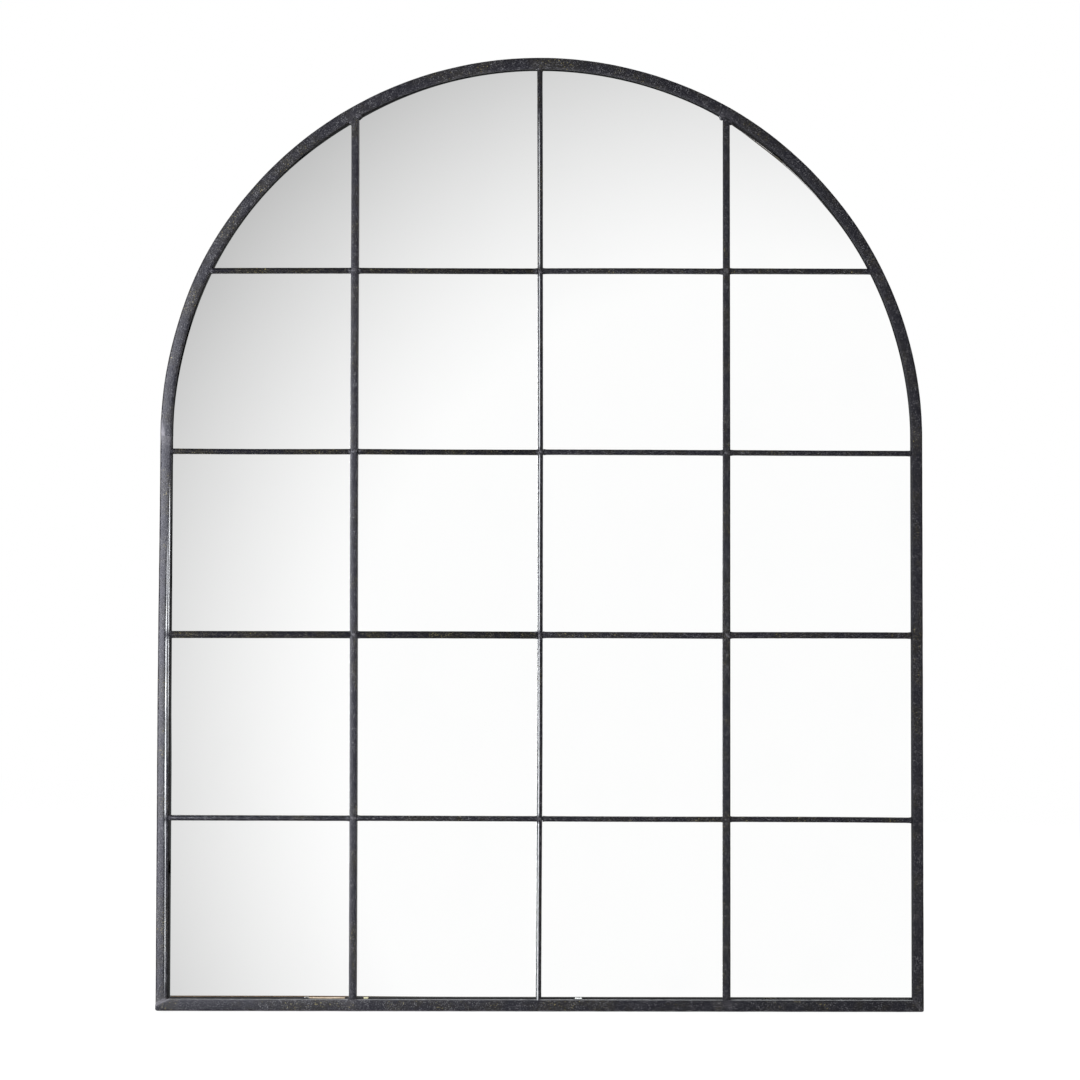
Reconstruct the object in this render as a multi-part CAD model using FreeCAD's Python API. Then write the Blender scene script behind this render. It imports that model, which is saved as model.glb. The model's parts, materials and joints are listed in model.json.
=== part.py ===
import FreeCAD, Part
import math
import os

# Arched window-pane wall mirror: a welded tube frame with a grid of bars across the front, one mirror
# sheet behind the grid, a backing board held by screwed clips, and two swinging D-ring hangers.
#
# Millimetres. X to the right, Y from the front face towards the wall, Z up. The origin is the middle of
# the underside: half the width across, half the depth back.

# ---- overall ----
overall_width = 800.0
overall_height = 1000.0
frame_depth = 25.0

# ---- frame tube: rectangular, narrow face forward ----
tube_face = 12.0
tube_wall = 1.5
tube_edge_radius = 1.8
outer_corner_radius = 2.5  # the mitred bottom corners, ground round

# ---- grid across the front ----
flat_bar_width = 7.5
flat_bar_thickness = 6.0
flat_bar_spread = 195.0  # from the middle to each flat bar's centre
centre_rod_diameter = 5.5
cross_rod_diameter = 5.5
heavy_rod_diameter = 6.4  # the second row up is rolled from a thicker rod
heavy_row = 2
first_row_height = 200.0
row_pitch = 191.5
row_count = 4

# ---- weld beads ----
bar_weld_leg = 3.0
rod_weld_build = 1.1  # how far a bead stands out round a rod
weld_inset = 0.4  # beads are dressed back this far from the front and from the glass
weld_wall_gap = 0.5  # between a bead and the frame's inner faces

# ---- mirror sheet, its shims and its backing board ----
glass_setback = 6.5  # front of the frame to front of the glass
glass_thickness = 3.0
glass_edge_gap = 1.0
shim_thickness = 2.0
shim_places = ((-222.0, 37.0), (-184.0, 9.0), (40.0, 7.0))  # centre across, length
board_thickness = 5.0
board_edge_gap = 2.0

# ---- retaining clips: bent strip, one leg on the tube, one on the board ----
clip_width = 14.0
clip_thickness = 1.2
clip_wall_leg = 9.0
clip_board_leg = 16.0
clip_bend_radius = 1.0  # outside of the bend
clip_hole_up_leg = 5.4
upright_clip_heights = (150.0, 450.0)
bottom_clip_spread = 240.0
arch_clip_angles = (50.0, 78.0)  # up from the right-hand spring line, mirrored to the left

# ---- screws ----
clip_screw_diameter = 3.5
clip_screw_length = 9.5
clip_screw_head = 6.4
clip_screw_head_height = 2.1
strap_screw_diameter = 4.0
strap_screw_length = 7.6
strap_screw_head = 7.4
strap_screw_head_height = 2.3
screw_hole_clearance = 0.2  # radial, where a screw passes freely
thread_clearance = 0.02  # radial, where its thread holds
recess_length = 0.55  # cross recess, as a share of the head's diameter
recess_width = 0.8
recess_depth = 1.1

# ---- D-ring hangers ----
hanger_inset = 23.5  # from the arch's inner face, level with the hinge line, to the hanger's middle
hanger_rise = 112.0  # hinge line above the spring line
lug_thickness = 2.5
lug_inboard = 20.0
lug_above = 8.0
lug_below = 52.0
lug_corner_radius = 4.0
lug_weld_leg = 2.4
strap_width = 14.0
strap_thickness = 1.2
strap_length = 47.0
strap_screw_drops = (27.0, 40.0)  # below the hinge line
ring_wire = 3.0
ring_clearance = 0.3
ring_half_width = 12.5
ring_leg = 3.0
ring_corner_radius = 4.0
curl_slit = 0.8

# ---- places worked out from the sizes above ----
half_width = overall_width / 2
front = -frame_depth / 2
spring_height = overall_height - half_width
inner_half_width = half_width - tube_face
glass_front = front + glass_setback
board_front = glass_front + glass_thickness
board_back = board_front + board_thickness
lug_back = board_back + lug_thickness
strap_back = lug_back + strap_thickness
hinge_height = spring_height + hanger_rise
curl_inner_radius = ring_wire / 2 + ring_clearance
curl_outer_radius = curl_inner_radius + strap_thickness
hinge_depth = lug_back + curl_outer_radius
hanger_spread = math.sqrt(inner_half_width**2 - hanger_rise**2) - hanger_inset

X_AXIS = FreeCAD.Vector(1, 0, 0)
Y_AXIS = FreeCAD.Vector(0, 1, 0)
Z_AXIS = FreeCAD.Vector(0, 0, 1)
FAR = 4 * max(overall_width, overall_height)


def point(x, y, z):
    return FreeCAD.Vector(x, y, z)


def box(low, high):
    """Box between two opposite corners."""
    return Part.makeBox(high[0] - low[0], high[1] - low[1], high[2] - low[2], point(*low))


def rod(start, end, radius):
    """Round bar from one point to another."""
    run = point(*end) - point(*start)
    return Part.makeCylinder(radius, run.Length, point(*start), run)


def rounded_rectangle(width, height, radius):
    """Flat face about the origin in the XY plane, with rounded corners."""
    r = min(radius, 0.49 * width, 0.49 * height)
    x, y = width / 2 - r, height / 2 - r
    centres = ((x, y), (-x, y), (-x, -y), (x, -y))

    def rim(corner, degrees):
        cx, cy = centres[corner % 4]
        a = math.radians(degrees)
        return point(cx + r * math.cos(a), cy + r * math.sin(a), 0)

    edges = []
    for corner in range(4):
        start = 90 * corner
        finish = start + 90
        quarter = Part.Arc(rim(corner, start), rim(corner, start + 45), rim(corner, finish))
        edges.append(quarter.toShape())
        edges.append(Part.LineSegment(rim(corner, finish), rim(corner + 1, finish)).toShape())
    return Part.Face(Part.Wire(edges))


def tube_section():
    """Hollow tube section about the origin: narrow face along X, depth along Y."""
    outer = rounded_rectangle(tube_face, frame_depth, tube_edge_radius)
    bore_radius = max(tube_edge_radius - tube_wall, 0.2 * tube_wall)
    bore = rounded_rectangle(tube_face - 2 * tube_wall, frame_depth - 2 * tube_wall, bore_radius)
    return outer.cut(bore)


def arched_sheet(side_inset, bottom_inset, y, thickness):
    """Arched sheet drawn in from the frame's outline, its front at depth y."""
    w = half_width - side_inset
    low_left, low_right = point(-w, y, bottom_inset), point(w, y, bottom_inset)
    foot_left, foot_right = point(-w, y, spring_height), point(w, y, spring_height)
    crown = point(0, y, spring_height + w)
    edges = [
        Part.LineSegment(low_left, low_right).toShape(),
        Part.LineSegment(low_right, foot_right).toShape(),
        Part.Arc(foot_right, crown, foot_left).toShape(),
        Part.LineSegment(foot_left, low_left).toShape(),
    ]
    return Part.Face(Part.Wire(edges)).extrude(Y_AXIS * thickness)


def inside_frame(gap=0.0):
    """Everything within the frame's inner faces, for trimming what is welded between them."""
    return arched_sheet(tube_face + gap, tube_face + gap, -FAR / 2, FAR)


def half_space(through, normal):
    """Large block on the side of a plane that its normal points to."""
    block = Part.makeBox(FAR, FAR, FAR, point(-FAR / 2, -FAR / 2, 0))
    block.Placement = FreeCAD.Placement(point(*through), FreeCAD.Rotation(Z_AXIS, point(*normal)))
    return block


def wall_frames():
    """Where the clips sit on the frame's inner faces: (x, z, degrees that inward makes with +X)."""
    chord = math.sqrt(inner_half_width**2 - (clip_width / 2) ** 2)
    places = []
    for z in upright_clip_heights:
        places += [(-inner_half_width, z, 0.0), (inner_half_width, z, 180.0)]
    for x in (-bottom_clip_spread, bottom_clip_spread):
        places.append((x, tube_face, 90.0))
    for angle in arch_clip_angles:
        for turned in (angle, 180.0 - angle):
            a = math.radians(turned)
            places.append((chord * math.cos(a), spring_height + chord * math.sin(a), turned + 180.0))
    return places


def set_on_wall(shape, place):
    """Move a shape drawn with inward along +X, its wall at x = 0, onto a place on the frame."""
    x, z, degrees = place
    shape.rotate(point(0, 0, 0), Y_AXIS, -degrees)
    shape.translate(point(x, 0, z))
    return shape


def clip_hole_depth():
    return board_back + clip_hole_up_leg


def thread_hole(place):
    """Hole through the tube's inner wall for one clip screw."""
    y = clip_hole_depth()
    reach = 2 * tube_wall
    hole = rod((-reach, y, 0), (reach, y, 0), clip_screw_diameter / 2 + thread_clearance)
    return set_on_wall(hole, place)


def with_thread_holes(tube, places):
    for place in places:
        tube = tube.cut(thread_hole(place))
    return tube


# ---- frame ----


def rounded_silhouette():
    """The frame's outline from the front with its two bottom corners rounded."""
    outline = rounded_rectangle(overall_width, FAR, outer_corner_radius)
    outline.rotate(point(0, 0, 0), X_AXIS, 90)
    outline.translate(point(0, -FAR / 2, FAR / 2))
    return outline.extrude(Y_AXIS * FAR)


def arch_tube():
    """Tube bent to a half circle, its feet level with the tops of the uprights."""
    radius = half_width - tube_face / 2
    section = tube_section()
    section.translate(point(radius, 0, spring_height))
    arch = section.revolve(point(0, 0, spring_height), Y_AXIS, -180)
    return with_thread_holes(arch, [p for p in wall_frames() if p[1] > spring_height])


def upright(side):
    """Upright on one side (-1 left, 1 right), mitred at its foot."""
    section = tube_section()
    section.translate(point(side * (half_width - tube_face / 2), 0, 0))
    tube = section.extrude(Z_AXIS * spring_height)
    tube = tube.cut(half_space((side * half_width, 0, 0), (-side, 0, -1)))
    tube = tube.common(rounded_silhouette())
    places = [p for p in wall_frames() if p[1] in upright_clip_heights and p[0] * side > 0]
    return with_thread_holes(tube, places)


def bottom_tube():
    """Bottom rail, mitred at both ends."""
    section = tube_section()
    section.rotate(point(0, 0, 0), Y_AXIS, 90)
    section.translate(point(-half_width, 0, tube_face / 2))
    tube = section.extrude(X_AXIS * overall_width)
    for side in (-1, 1):
        tube = tube.cut(half_space((side * half_width, 0, 0), (side, 0, 1)))
    tube = tube.common(rounded_silhouette())
    places = [p for p in wall_frames() if p[1] == tube_face]
    return with_thread_holes(tube, places)


# ---- grid ----


def flat_bar(x):
    """Flat bar from the bottom rail to the arch, its back against the glass."""
    low = (x - flat_bar_width / 2, glass_front - flat_bar_thickness, 0)
    high = (x + flat_bar_width / 2, glass_front, overall_height)
    return box(low, high).common(inside_frame())


def grid_depth():
    """Depth of the rods' centre line: the middle of the space in front of the glass."""
    return front + glass_setback / 2


def centre_rod():
    y = grid_depth()
    return rod((0, y, 0), (0, y, overall_height), centre_rod_diameter / 2).common(inside_frame())


def row_height(row):
    return first_row_height + (row - 1) * row_pitch


def row_radius(row):
    return (heavy_rod_diameter if row == heavy_row else cross_rod_diameter) / 2


def inner_reach(z):
    """Half the width inside the frame at height z."""
    rise = max(z - spring_height, 0.0)
    return math.sqrt(inner_half_width**2 - rise**2)


def column_spans(z):
    """Start and end across of each of a row's four rods."""
    bar = flat_bar_width / 2
    hub = centre_rod_diameter / 2
    reach = inner_reach(z)
    return (
        (-reach, -flat_bar_spread - bar),
        (-flat_bar_spread + bar, -hub),
        (hub, flat_bar_spread - bar),
        (flat_bar_spread + bar, reach),
    )


def cross_rod(row, column):
    """One short rod of a row, from one upright member to the next."""
    z = row_height(row)
    start, end = column_spans(z)[column]
    spare = 2 * tube_face
    start -= spare if column == 0 else 0
    end += spare if column == 3 else 0
    y = grid_depth()
    return rod((start, y, z), (end, y, z), row_radius(row)).common(inside_frame())


def weld_space():
    """The space that weld beads keep to: within the frame, between its front and the glass."""
    layer = box((-FAR, front + weld_inset, -FAR), (FAR, glass_front - weld_inset, FAR))
    return layer.common(inside_frame(weld_wall_gap))


def row_welds(row, members):
    """A bead round each rod end in a row, dressed flat at the front and at the glass."""
    z = row_height(row)
    radius = row_radius(row) + rod_weld_build
    limits = weld_space()
    beads = []
    for column, span in enumerate(column_spans(z)):
        for end, x in enumerate(span):
            reach = inner_reach(z)
            side = 1 if end == 0 else -1
            bead = Part.makeSphere(radius, point(x, grid_depth(), z), X_AXIS)
            own_half = box((min(0, side * FAR), -FAR, -FAR), (max(0, side * FAR), FAR, FAR))
            if abs(x) < reach:
                own_half.translate(point(x, 0, 0))
                bead = bead.common(own_half)
            bead = bead.common(limits)
            for member in members:
                if bead.BoundBox.intersect(member.BoundBox):
                    bead = bead.cut(member)
            beads.append(bead)
    return Part.makeCompound([solid for bead in beads for solid in bead.Solids])


def centre_rod_welds(rod_shape):
    """A bead at the foot and at the head of the centre rod."""
    radius = centre_rod_diameter / 2 + rod_weld_build
    limits = weld_space()
    beads = []
    for z in (tube_face, spring_height + inner_half_width):
        bead = Part.makeSphere(radius, point(0, grid_depth(), z)).common(limits).cut(rod_shape)
        beads += bead.Solids
    return Part.makeCompound(beads)


def bar_welds(bars):
    """Fillets in the corners where the flat bars meet the bottom rail and the arch."""
    limits = weld_space()
    beads = []
    for centre in (-flat_bar_spread, flat_bar_spread):
        for side in (-1, 1):
            x = centre + side * flat_bar_width / 2
            head = spring_height + math.sqrt(inner_half_width**2 - x**2)
            for z in (tube_face, head):
                bead = rod((x, front, z), (x, glass_front, z), bar_weld_leg).common(limits)
                for bar in bars:
                    bead = bead.cut(bar)
                beads += bead.Solids
    return Part.makeCompound(beads)


# ---- sheet, shims and board ----


def mirror_glass():
    return arched_sheet(tube_face + glass_edge_gap, tube_face + shim_thickness, glass_front, glass_thickness)


def backing_board():
    """Board behind the glass, bored for the hanger screws."""
    inset = tube_face + board_edge_gap
    board = arched_sheet(inset, tube_face + shim_thickness, board_front, board_thickness)
    for side in (-1, 1):
        for drop in strap_screw_drops:
            x, z = side * hanger_spread, hinge_height - drop
            radius = strap_screw_diameter / 2 + thread_clearance
            board = board.cut(rod((x, board_front - 1, z), (x, board_back + 1, z), radius))
    return board


def glass_shims():
    """Slips on the bottom rail that carry the glass and the board."""
    slips = []
    for x, length in shim_places:
        low = (x - length / 2, glass_front, tube_face)
        high = (x + length / 2, board_back, tube_face + shim_thickness)
        slips.append(box(low, high))
    return Part.makeCompound(slips)


# ---- clips and screws ----


def retaining_clip():
    """Bent strip drawn with the tube's wall at x = 0 and the board's back behind it."""
    half = clip_width / 2
    wall_leg = box((0, board_back, -half), (clip_thickness, board_back + clip_wall_leg, half))
    board_leg = box((0, board_back, -half), (clip_board_leg, board_back + clip_thickness, half))
    clip = wall_leg.fuse(board_leg).removeSplitter()
    bend = [
        edge
        for edge in clip.Edges
        if all(abs(v.X) < 1e-6 and abs(v.Y - board_back) < 1e-6 for v in edge.Vertexes)
    ]
    clip = clip.makeFillet(min(clip_bend_radius, 0.9 * clip_thickness), bend)
    y = clip_hole_depth()
    radius = clip_screw_diameter / 2 + screw_hole_clearance
    return clip.cut(rod((-1, y, 0), (clip_thickness + 1, y, 0), radius))


def pan_screw(diameter, length, head, head_height):
    """Pan-head screw along X: the head's underside at x = 0, the shank towards -X."""
    radius = diameter / 2
    crown = 0.45 * head_height
    cap = Part.makeCylinder(head / 2, head_height, point(0, 0, 0), X_AXIS)
    rim = [edge for edge in cap.Edges if edge.BoundBox.XMin > head_height - 1e-6]
    cap = cap.makeFillet(crown, rim)
    long_side, short_side = recess_length * head / 2, recess_width / 2
    floor = head_height - min(recess_depth, 0.7 * head_height)
    cap = cap.cut(box((floor, -long_side, -short_side), (2 * head_height, long_side, short_side)))
    cap = cap.cut(box((floor, -short_side, -long_side), (2 * head_height, short_side, long_side)))
    tip = min(radius, length / 3)
    shank = Part.makeCylinder(radius, length - tip, point(0, 0, 0), -X_AXIS)
    point_cone = Part.makeCone(radius, 0.2 * radius, tip, point(tip - length, 0, 0), -X_AXIS)
    return cap.fuse([shank, point_cone]).removeSplitter()


def clip_screw():
    screw = pan_screw(clip_screw_diameter, clip_screw_length, clip_screw_head, clip_screw_head_height)
    screw.translate(point(clip_thickness, clip_hole_depth(), 0))
    return screw


def all_on_walls(make):
    """One copy of a piece at every clip's place."""
    return Part.makeCompound([set_on_wall(make(), place) for place in wall_frames()])


# ---- hangers ----


def hanger_lug(side):
    """Steel plate welded to the arch's inner face, flat on the back of the board."""
    low = (hanger_spread - lug_inboard, board_back, hinge_height - lug_below)
    high = (overall_width, lug_back, hinge_height + lug_above)
    plate = box(low, high)
    free = [
        edge
        for edge in plate.Edges
        if all(abs(v.X - low[0]) < 1e-6 for v in edge.Vertexes) and abs(edge.Length - lug_thickness) < 1e-6
    ]
    plate = plate.makeFillet(lug_corner_radius, free).common(inside_frame())
    for drop in strap_screw_drops:
        z = hinge_height - drop
        radius = strap_screw_diameter / 2 + thread_clearance
        plate = plate.cut(rod((hanger_spread, board_back - 1, z), (hanger_spread, lug_back + 1, z), radius))
    return plate if side > 0 else plate.mirror(point(0, 0, 0), X_AXIS)


def lug_weld(side):
    """Fillet weld between a lug's back face and the arch's inner face."""
    low = math.asin((hinge_height - lug_below - spring_height) / inner_half_width)
    high = math.asin((hinge_height + lug_above - spring_height) / inner_half_width)
    margin = 0.1 * (high - low)
    corners = [
        point(inner_half_width, lug_back, spring_height),
        point(inner_half_width - lug_weld_leg, lug_back, spring_height),
        point(inner_half_width, lug_back + lug_weld_leg, spring_height),
    ]
    section = Part.Face(Part.makePolygon(corners + corners[:1]))
    centre = point(0, 0, spring_height)
    section.rotate(centre, Y_AXIS, -math.degrees(low + margin))
    bead = section.revolve(centre, Y_AXIS, -math.degrees(high - low - 2 * margin))
    return bead if side > 0 else bead.mirror(point(0, 0, 0), X_AXIS)


def hanger_strap(side):
    """Strip curled round the ring's straight bar and screwed flat to the lug."""
    x = side * hanger_spread
    half = strap_width / 2
    y, z = hinge_depth, hinge_height
    curl = rod((x - half, y, z), (x + half, y, z), curl_outer_radius)
    end_round = rod((x, lug_back, z - strap_length + half), (x, strap_back, z - strap_length + half), half)
    plate = box((x - half, lug_back, z - strap_length + half), (x + half, strap_back, z))
    strap = curl.fuse([plate, end_round]).removeSplitter()
    strap = strap.cut(rod((x - half - 1, y, z), (x + half + 1, y, z), curl_inner_radius))
    slit = box((x - half - 1, strap_back, z - FAR), (x + half + 1, strap_back + curl_slit, z))
    strap = strap.cut(slit)
    for drop in strap_screw_drops:
        radius = strap_screw_diameter / 2 + screw_hole_clearance
        strap = strap.cut(rod((x, lug_back - 1, z - drop), (x, strap_back + 1, z - drop), radius))
    return strap


def hanger_ring(side):
    """D-ring of round wire hanging from its straight bar: two legs, two corners and a half-circle bow."""
    x, y, z = side * hanger_spread, hinge_depth, hinge_height
    wire = ring_wire / 2
    a, c = ring_half_width, ring_corner_radius
    knee = z - c
    heel = knee - ring_leg
    pieces = [rod((x - a + c, y, z), (x + a - c, y, z), wire)]
    for way in (-1, 1):
        pieces.append(rod((x + way * a, y, heel), (x + way * a, y, knee), wire))
        corner = Part.Face(Part.Wire(Part.makeCircle(wire, point(x + way * a, y, knee), Z_AXIS)))
        pieces.append(corner.revolve(point(x + way * (a - c), y, knee), Y_AXIS, -way * 90))
    bow = Part.Face(Part.Wire(Part.makeCircle(wire, point(x + a, y, heel), Z_AXIS)))
    pieces.append(bow.revolve(point(x, y, heel), Y_AXIS, 180))
    return pieces[0].fuse(pieces[1:]).removeSplitter()


def strap_screws():
    """Screws through each strap and lug into the board, heads to the back."""
    screws = []
    for side in (-1, 1):
        for drop in strap_screw_drops:
            screw = pan_screw(strap_screw_diameter, strap_screw_length, strap_screw_head, strap_screw_head_height)
            screw.rotate(point(0, 0, 0), Z_AXIS, 90)
            screw.translate(point(side * hanger_spread, strap_back, hinge_height - drop))
            screws.append(screw)
    return Part.makeCompound(screws)


# ---- the whole mirror ----


def all_nodes():
    left_bar, right_bar = flat_bar(-flat_bar_spread), flat_bar(flat_bar_spread)
    middle = centre_rod()
    nodes = {
        "arch_tube": arch_tube(),
        "left_upright": upright(-1),
        "right_upright": upright(1),
        "bottom_tube": bottom_tube(),
        "left_flat_bar": left_bar,
        "right_flat_bar": right_bar,
        "centre_rod": middle,
        "flat_bar_welds": bar_welds((left_bar, right_bar)),
        "centre_rod_welds": centre_rod_welds(middle),
        "mirror_glass": mirror_glass(),
        "glass_shims": glass_shims(),
        "backing_board": backing_board(),
        "retaining_clips": all_on_walls(retaining_clip),
        "clip_screws": all_on_walls(clip_screw),
        "hanger_welds": Part.makeCompound([lug_weld(-1), lug_weld(1)]),
        "strap_screws": strap_screws(),
    }
    for side, name in ((-1, "left"), (1, "right")):
        nodes[name + "_hanger_lug"] = hanger_lug(side)
        nodes[name + "_hanger_strap"] = hanger_strap(side)
        nodes[name + "_hanger_ring"] = hanger_ring(side)
    for row in range(1, row_count + 1):
        rods = [cross_rod(row, column) for column in range(4)]
        for column, shape in enumerate(rods):
            nodes["row_%d_rod_%d" % (row, column + 1)] = shape
        nodes["row_%d_welds" % row] = row_welds(row, rods + [left_bar, right_bar, middle])
    return nodes


def main():
    os.makedirs("parts", exist_ok=True)
    for name, shape in sorted(all_nodes().items()):
        solids = shape.Solids
        whole = bool(solids) and all(s.isValid() and s.isClosed() and s.Volume > 0 for s in solids)
        if not whole:
            raise ValueError(name + " is not made of closed solids")
        shape = solids[0] if len(solids) == 1 else Part.makeCompound(solids)
        shape.exportStep("parts/" + name + ".step")
        print("%-22s %3d solid(s) %12.1f mm3" % (name, len(solids), shape.Volume))


main()
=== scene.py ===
"""The looks of an arched window mirror: blackened iron tube, a welded grid, one mirror sheet and hangers."""

import json
import logging
import math
from abc import ABC, abstractmethod
from dataclasses import dataclass
from enum import Enum
from typing import Iterable, Sequence

import bpy
import numpy as np
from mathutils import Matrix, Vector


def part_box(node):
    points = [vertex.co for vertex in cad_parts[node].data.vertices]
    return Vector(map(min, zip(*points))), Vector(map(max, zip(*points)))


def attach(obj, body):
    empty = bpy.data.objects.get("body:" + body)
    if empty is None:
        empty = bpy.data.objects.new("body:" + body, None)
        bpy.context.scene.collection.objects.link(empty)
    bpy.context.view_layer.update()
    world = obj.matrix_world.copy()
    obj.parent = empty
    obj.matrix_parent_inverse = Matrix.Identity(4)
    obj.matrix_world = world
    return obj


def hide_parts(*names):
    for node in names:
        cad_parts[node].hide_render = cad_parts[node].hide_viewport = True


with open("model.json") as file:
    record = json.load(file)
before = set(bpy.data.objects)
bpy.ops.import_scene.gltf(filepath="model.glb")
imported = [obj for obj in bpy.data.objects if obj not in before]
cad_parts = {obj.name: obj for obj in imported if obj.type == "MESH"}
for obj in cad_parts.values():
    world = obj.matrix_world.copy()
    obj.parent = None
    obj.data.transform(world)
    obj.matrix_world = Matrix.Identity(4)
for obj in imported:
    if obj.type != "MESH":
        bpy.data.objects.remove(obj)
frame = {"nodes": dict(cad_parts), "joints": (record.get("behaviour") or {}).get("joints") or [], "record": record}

LOG = logging.getLogger("arched_mirror")
MM = 0.001
TINY = 1e-9
Number = float | np.ndarray
Triple = tuple[float, float, float]
Colour = Triple
X_AXIS, Y_AXIS, Z_AXIS = np.eye(3)


# ---------------------------------------------------------------- numbers on surfaces


def ease(share: Number) -> Number:
    """Smooth step: 3 s^2 - 2 s^3 of a share s held between 0 and 1."""
    held = np.clip(share, 0.0, 1.0)
    return held * held * (3.0 - 2.0 * held)


def hump(distance: Number, width: Number) -> Number:
    """Bell of height 1: e to the minus (distance over width) squared."""
    return np.exp(-((distance / width) ** 2))


def between(first: Number, last: Number, share: Number) -> Number:
    """The number that lies a share of the way from the first to the last."""
    return first + (last - first) * share


@dataclass(frozen=True)
class Fade:
    """A smooth rise from 0 to 1 that starts at a place and takes a length; a negative one runs back."""

    start: float
    length: float

    def at(self, place: Number) -> Number:
        """The smooth step of (place - start) over length."""
        return ease((place - self.start) / self.length)


@dataclass(frozen=True)
class Band:
    """A soft band: a bell about a place, with a width and a strength."""

    place: float
    width: float
    strength: float

    def at(self, place: Number) -> Number:
        """Strength times the bell of the distance from the band's place."""
        return self.strength * hump(place - self.place, self.width)


class Grain:
    """Seeded smooth unevenness: plane waves of random direction, length and phase, added up."""

    LENGTHS = (0.6, 1.8)

    def __init__(self, seed: int, length: float, waves: int = 18) -> None:
        """Draw the waves.

        Args:
            seed: the number that the random draws start from.
            length: middling wavelength, in metres.
            waves: how many waves are added.
        """
        rng = np.random.default_rng(seed)
        heading = rng.normal(size=(waves, 3))
        heading /= np.linalg.norm(heading, axis=1, keepdims=True)
        self.vectors = heading * (2.0 * math.pi / (length * rng.uniform(*self.LENGTHS, (waves, 1))))
        self.phases = rng.uniform(0.0, 2.0 * math.pi, waves)

    def at(self, points: np.ndarray) -> np.ndarray:
        """Height at each point, mostly from -1 to 1: the cosines' sum over the root of twice their count."""
        return np.cos(points @ self.vectors.T + self.phases).sum(-1) / math.sqrt(2.0 * len(self.phases))

    def broken(self, points: np.ndarray, share: float) -> np.ndarray:
        """A strength of about 1 that varies by a share: 1 - share + share * height."""
        return 1.0 - share + share * self.at(points)


def stations(
    length: float,
    fine: float,
    coarse: float,
    growth: float = 1.35,
    lead_share: float = 0.4,
) -> np.ndarray:
    """Places along a length, close together at both ends and wider apart between.

    Steps grow from fine by the given factor until they reach coarse, are mirrored for the far end, and even
    steps of about coarse fill the rest.

    Args:
        length: the whole length, in metres.
        fine: the first step.
        coarse: the widest step.
        growth: each step over the one before it.
        lead_share: the most of the length that the growing steps of one end may take.

    Returns:
        Shares of the length, from 0 to 1.
    """
    count = max(1, int(math.ceil(math.log(coarse / fine) / math.log(growth))))
    lead = np.concatenate([[0.0], np.cumsum(fine * growth ** np.arange(count))])
    lead = lead[lead < lead_share * length]
    inner = length - 2.0 * lead[-1]
    fill = np.linspace(lead[-1], lead[-1] + inner, max(2, int(round(inner / coarse)) + 1))[1:-1]
    return np.concatenate([lead, fill, (length - lead)[::-1]]) / length


# ---------------------------------------------------------------- sections


@dataclass(frozen=True)
class Section:
    """A closed outline in a plane: points, outward normals, and how much of an arris each point is."""

    points: np.ndarray
    normals: np.ndarray
    arris: np.ndarray


def rounded_section(
    width: float,
    depth: float,
    radius: float,
    crown: float,
    arc_steps: int = 6,
    side_step: float = 2.0 * MM,
    front_step: float = 1.2 * MM,
) -> Section:
    """Rounded rectangle whose front side, towards -depth, bulges a little.

    Each corner is a quarter circle and each side is a line between two of them. The front's middle stays and
    its sides fall back by crown times (2 a / width) squared, a being the distance from the middle.

    Args:
        width: size across.
        depth: size front to back.
        radius: corner radius.
        crown: how far the front's sides fall back.
        arc_steps: steps in a quarter circle.
        side_step: longest step along a side.
        front_step: longest step along the front, which is the third side.

    Returns:
        The section, counter-clockwise, with arris 1 in the middle of each corner and 0 on the sides.
    """
    x, y = width / 2 - radius, depth / 2 - radius
    centres = np.array([(x, y), (-x, y), (-x, -y), (x, -y)])
    share = np.linspace(0.0, 1.0, arc_steps + 1)
    points, normals, arris = [], [], []
    for corner in range(4):
        angle = (corner + share) * math.pi / 2
        ring = np.stack([np.cos(angle), np.sin(angle)], -1)
        arc = centres[corner] + radius * ring
        goal = centres[(corner + 1) % 4] + radius * ring[-1]
        step = front_step if corner == 2 else side_step
        steps = max(2, int(math.ceil(np.linalg.norm(goal - arc[-1]) / step)))
        side = arc[-1] + np.linspace(0.0, 1.0, steps + 1)[1:-1, None] * (goal - arc[-1])
        points += [arc, side]
        normals += [ring, np.repeat(ring[-1:], len(side), 0)]
        arris += [np.sin(share * math.pi), np.zeros(len(side))]
    flat, out = np.concatenate(points), np.concatenate(normals)
    flat[:, 1] += crown * (2.0 * flat[:, 0] / width) ** 2 * np.clip(-out[:, 1], 0.0, 1.0)
    return Section(flat, out, np.concatenate(arris))


def round_section(radius: float, steps: int) -> Section:
    """Circle: radius times (cos a, sin a), with no arris.

    Args:
        radius: its radius.
        steps: how many points it has.

    Returns:
        The section.
    """
    angle = np.arange(steps) * (2.0 * math.pi / steps)
    ring = np.stack([np.cos(angle), np.sin(angle)], -1)
    return Section(radius * ring, ring, np.zeros(steps))


# ---------------------------------------------------------------- surfaces and pieces


class Trait(Enum):
    """What a surface carries at each point, as a channel of the finish attribute: wear, ground metal that is
    painted sheen in places, painted shade together with dark seams and edges, and painted highlight lines.
    """

    WORN = 0
    DRESSED_AND_SHEEN = 1
    SHADE_AND_DARK_EDGES = 2
    PAINTED_HIGHLIGHT = 3


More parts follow.
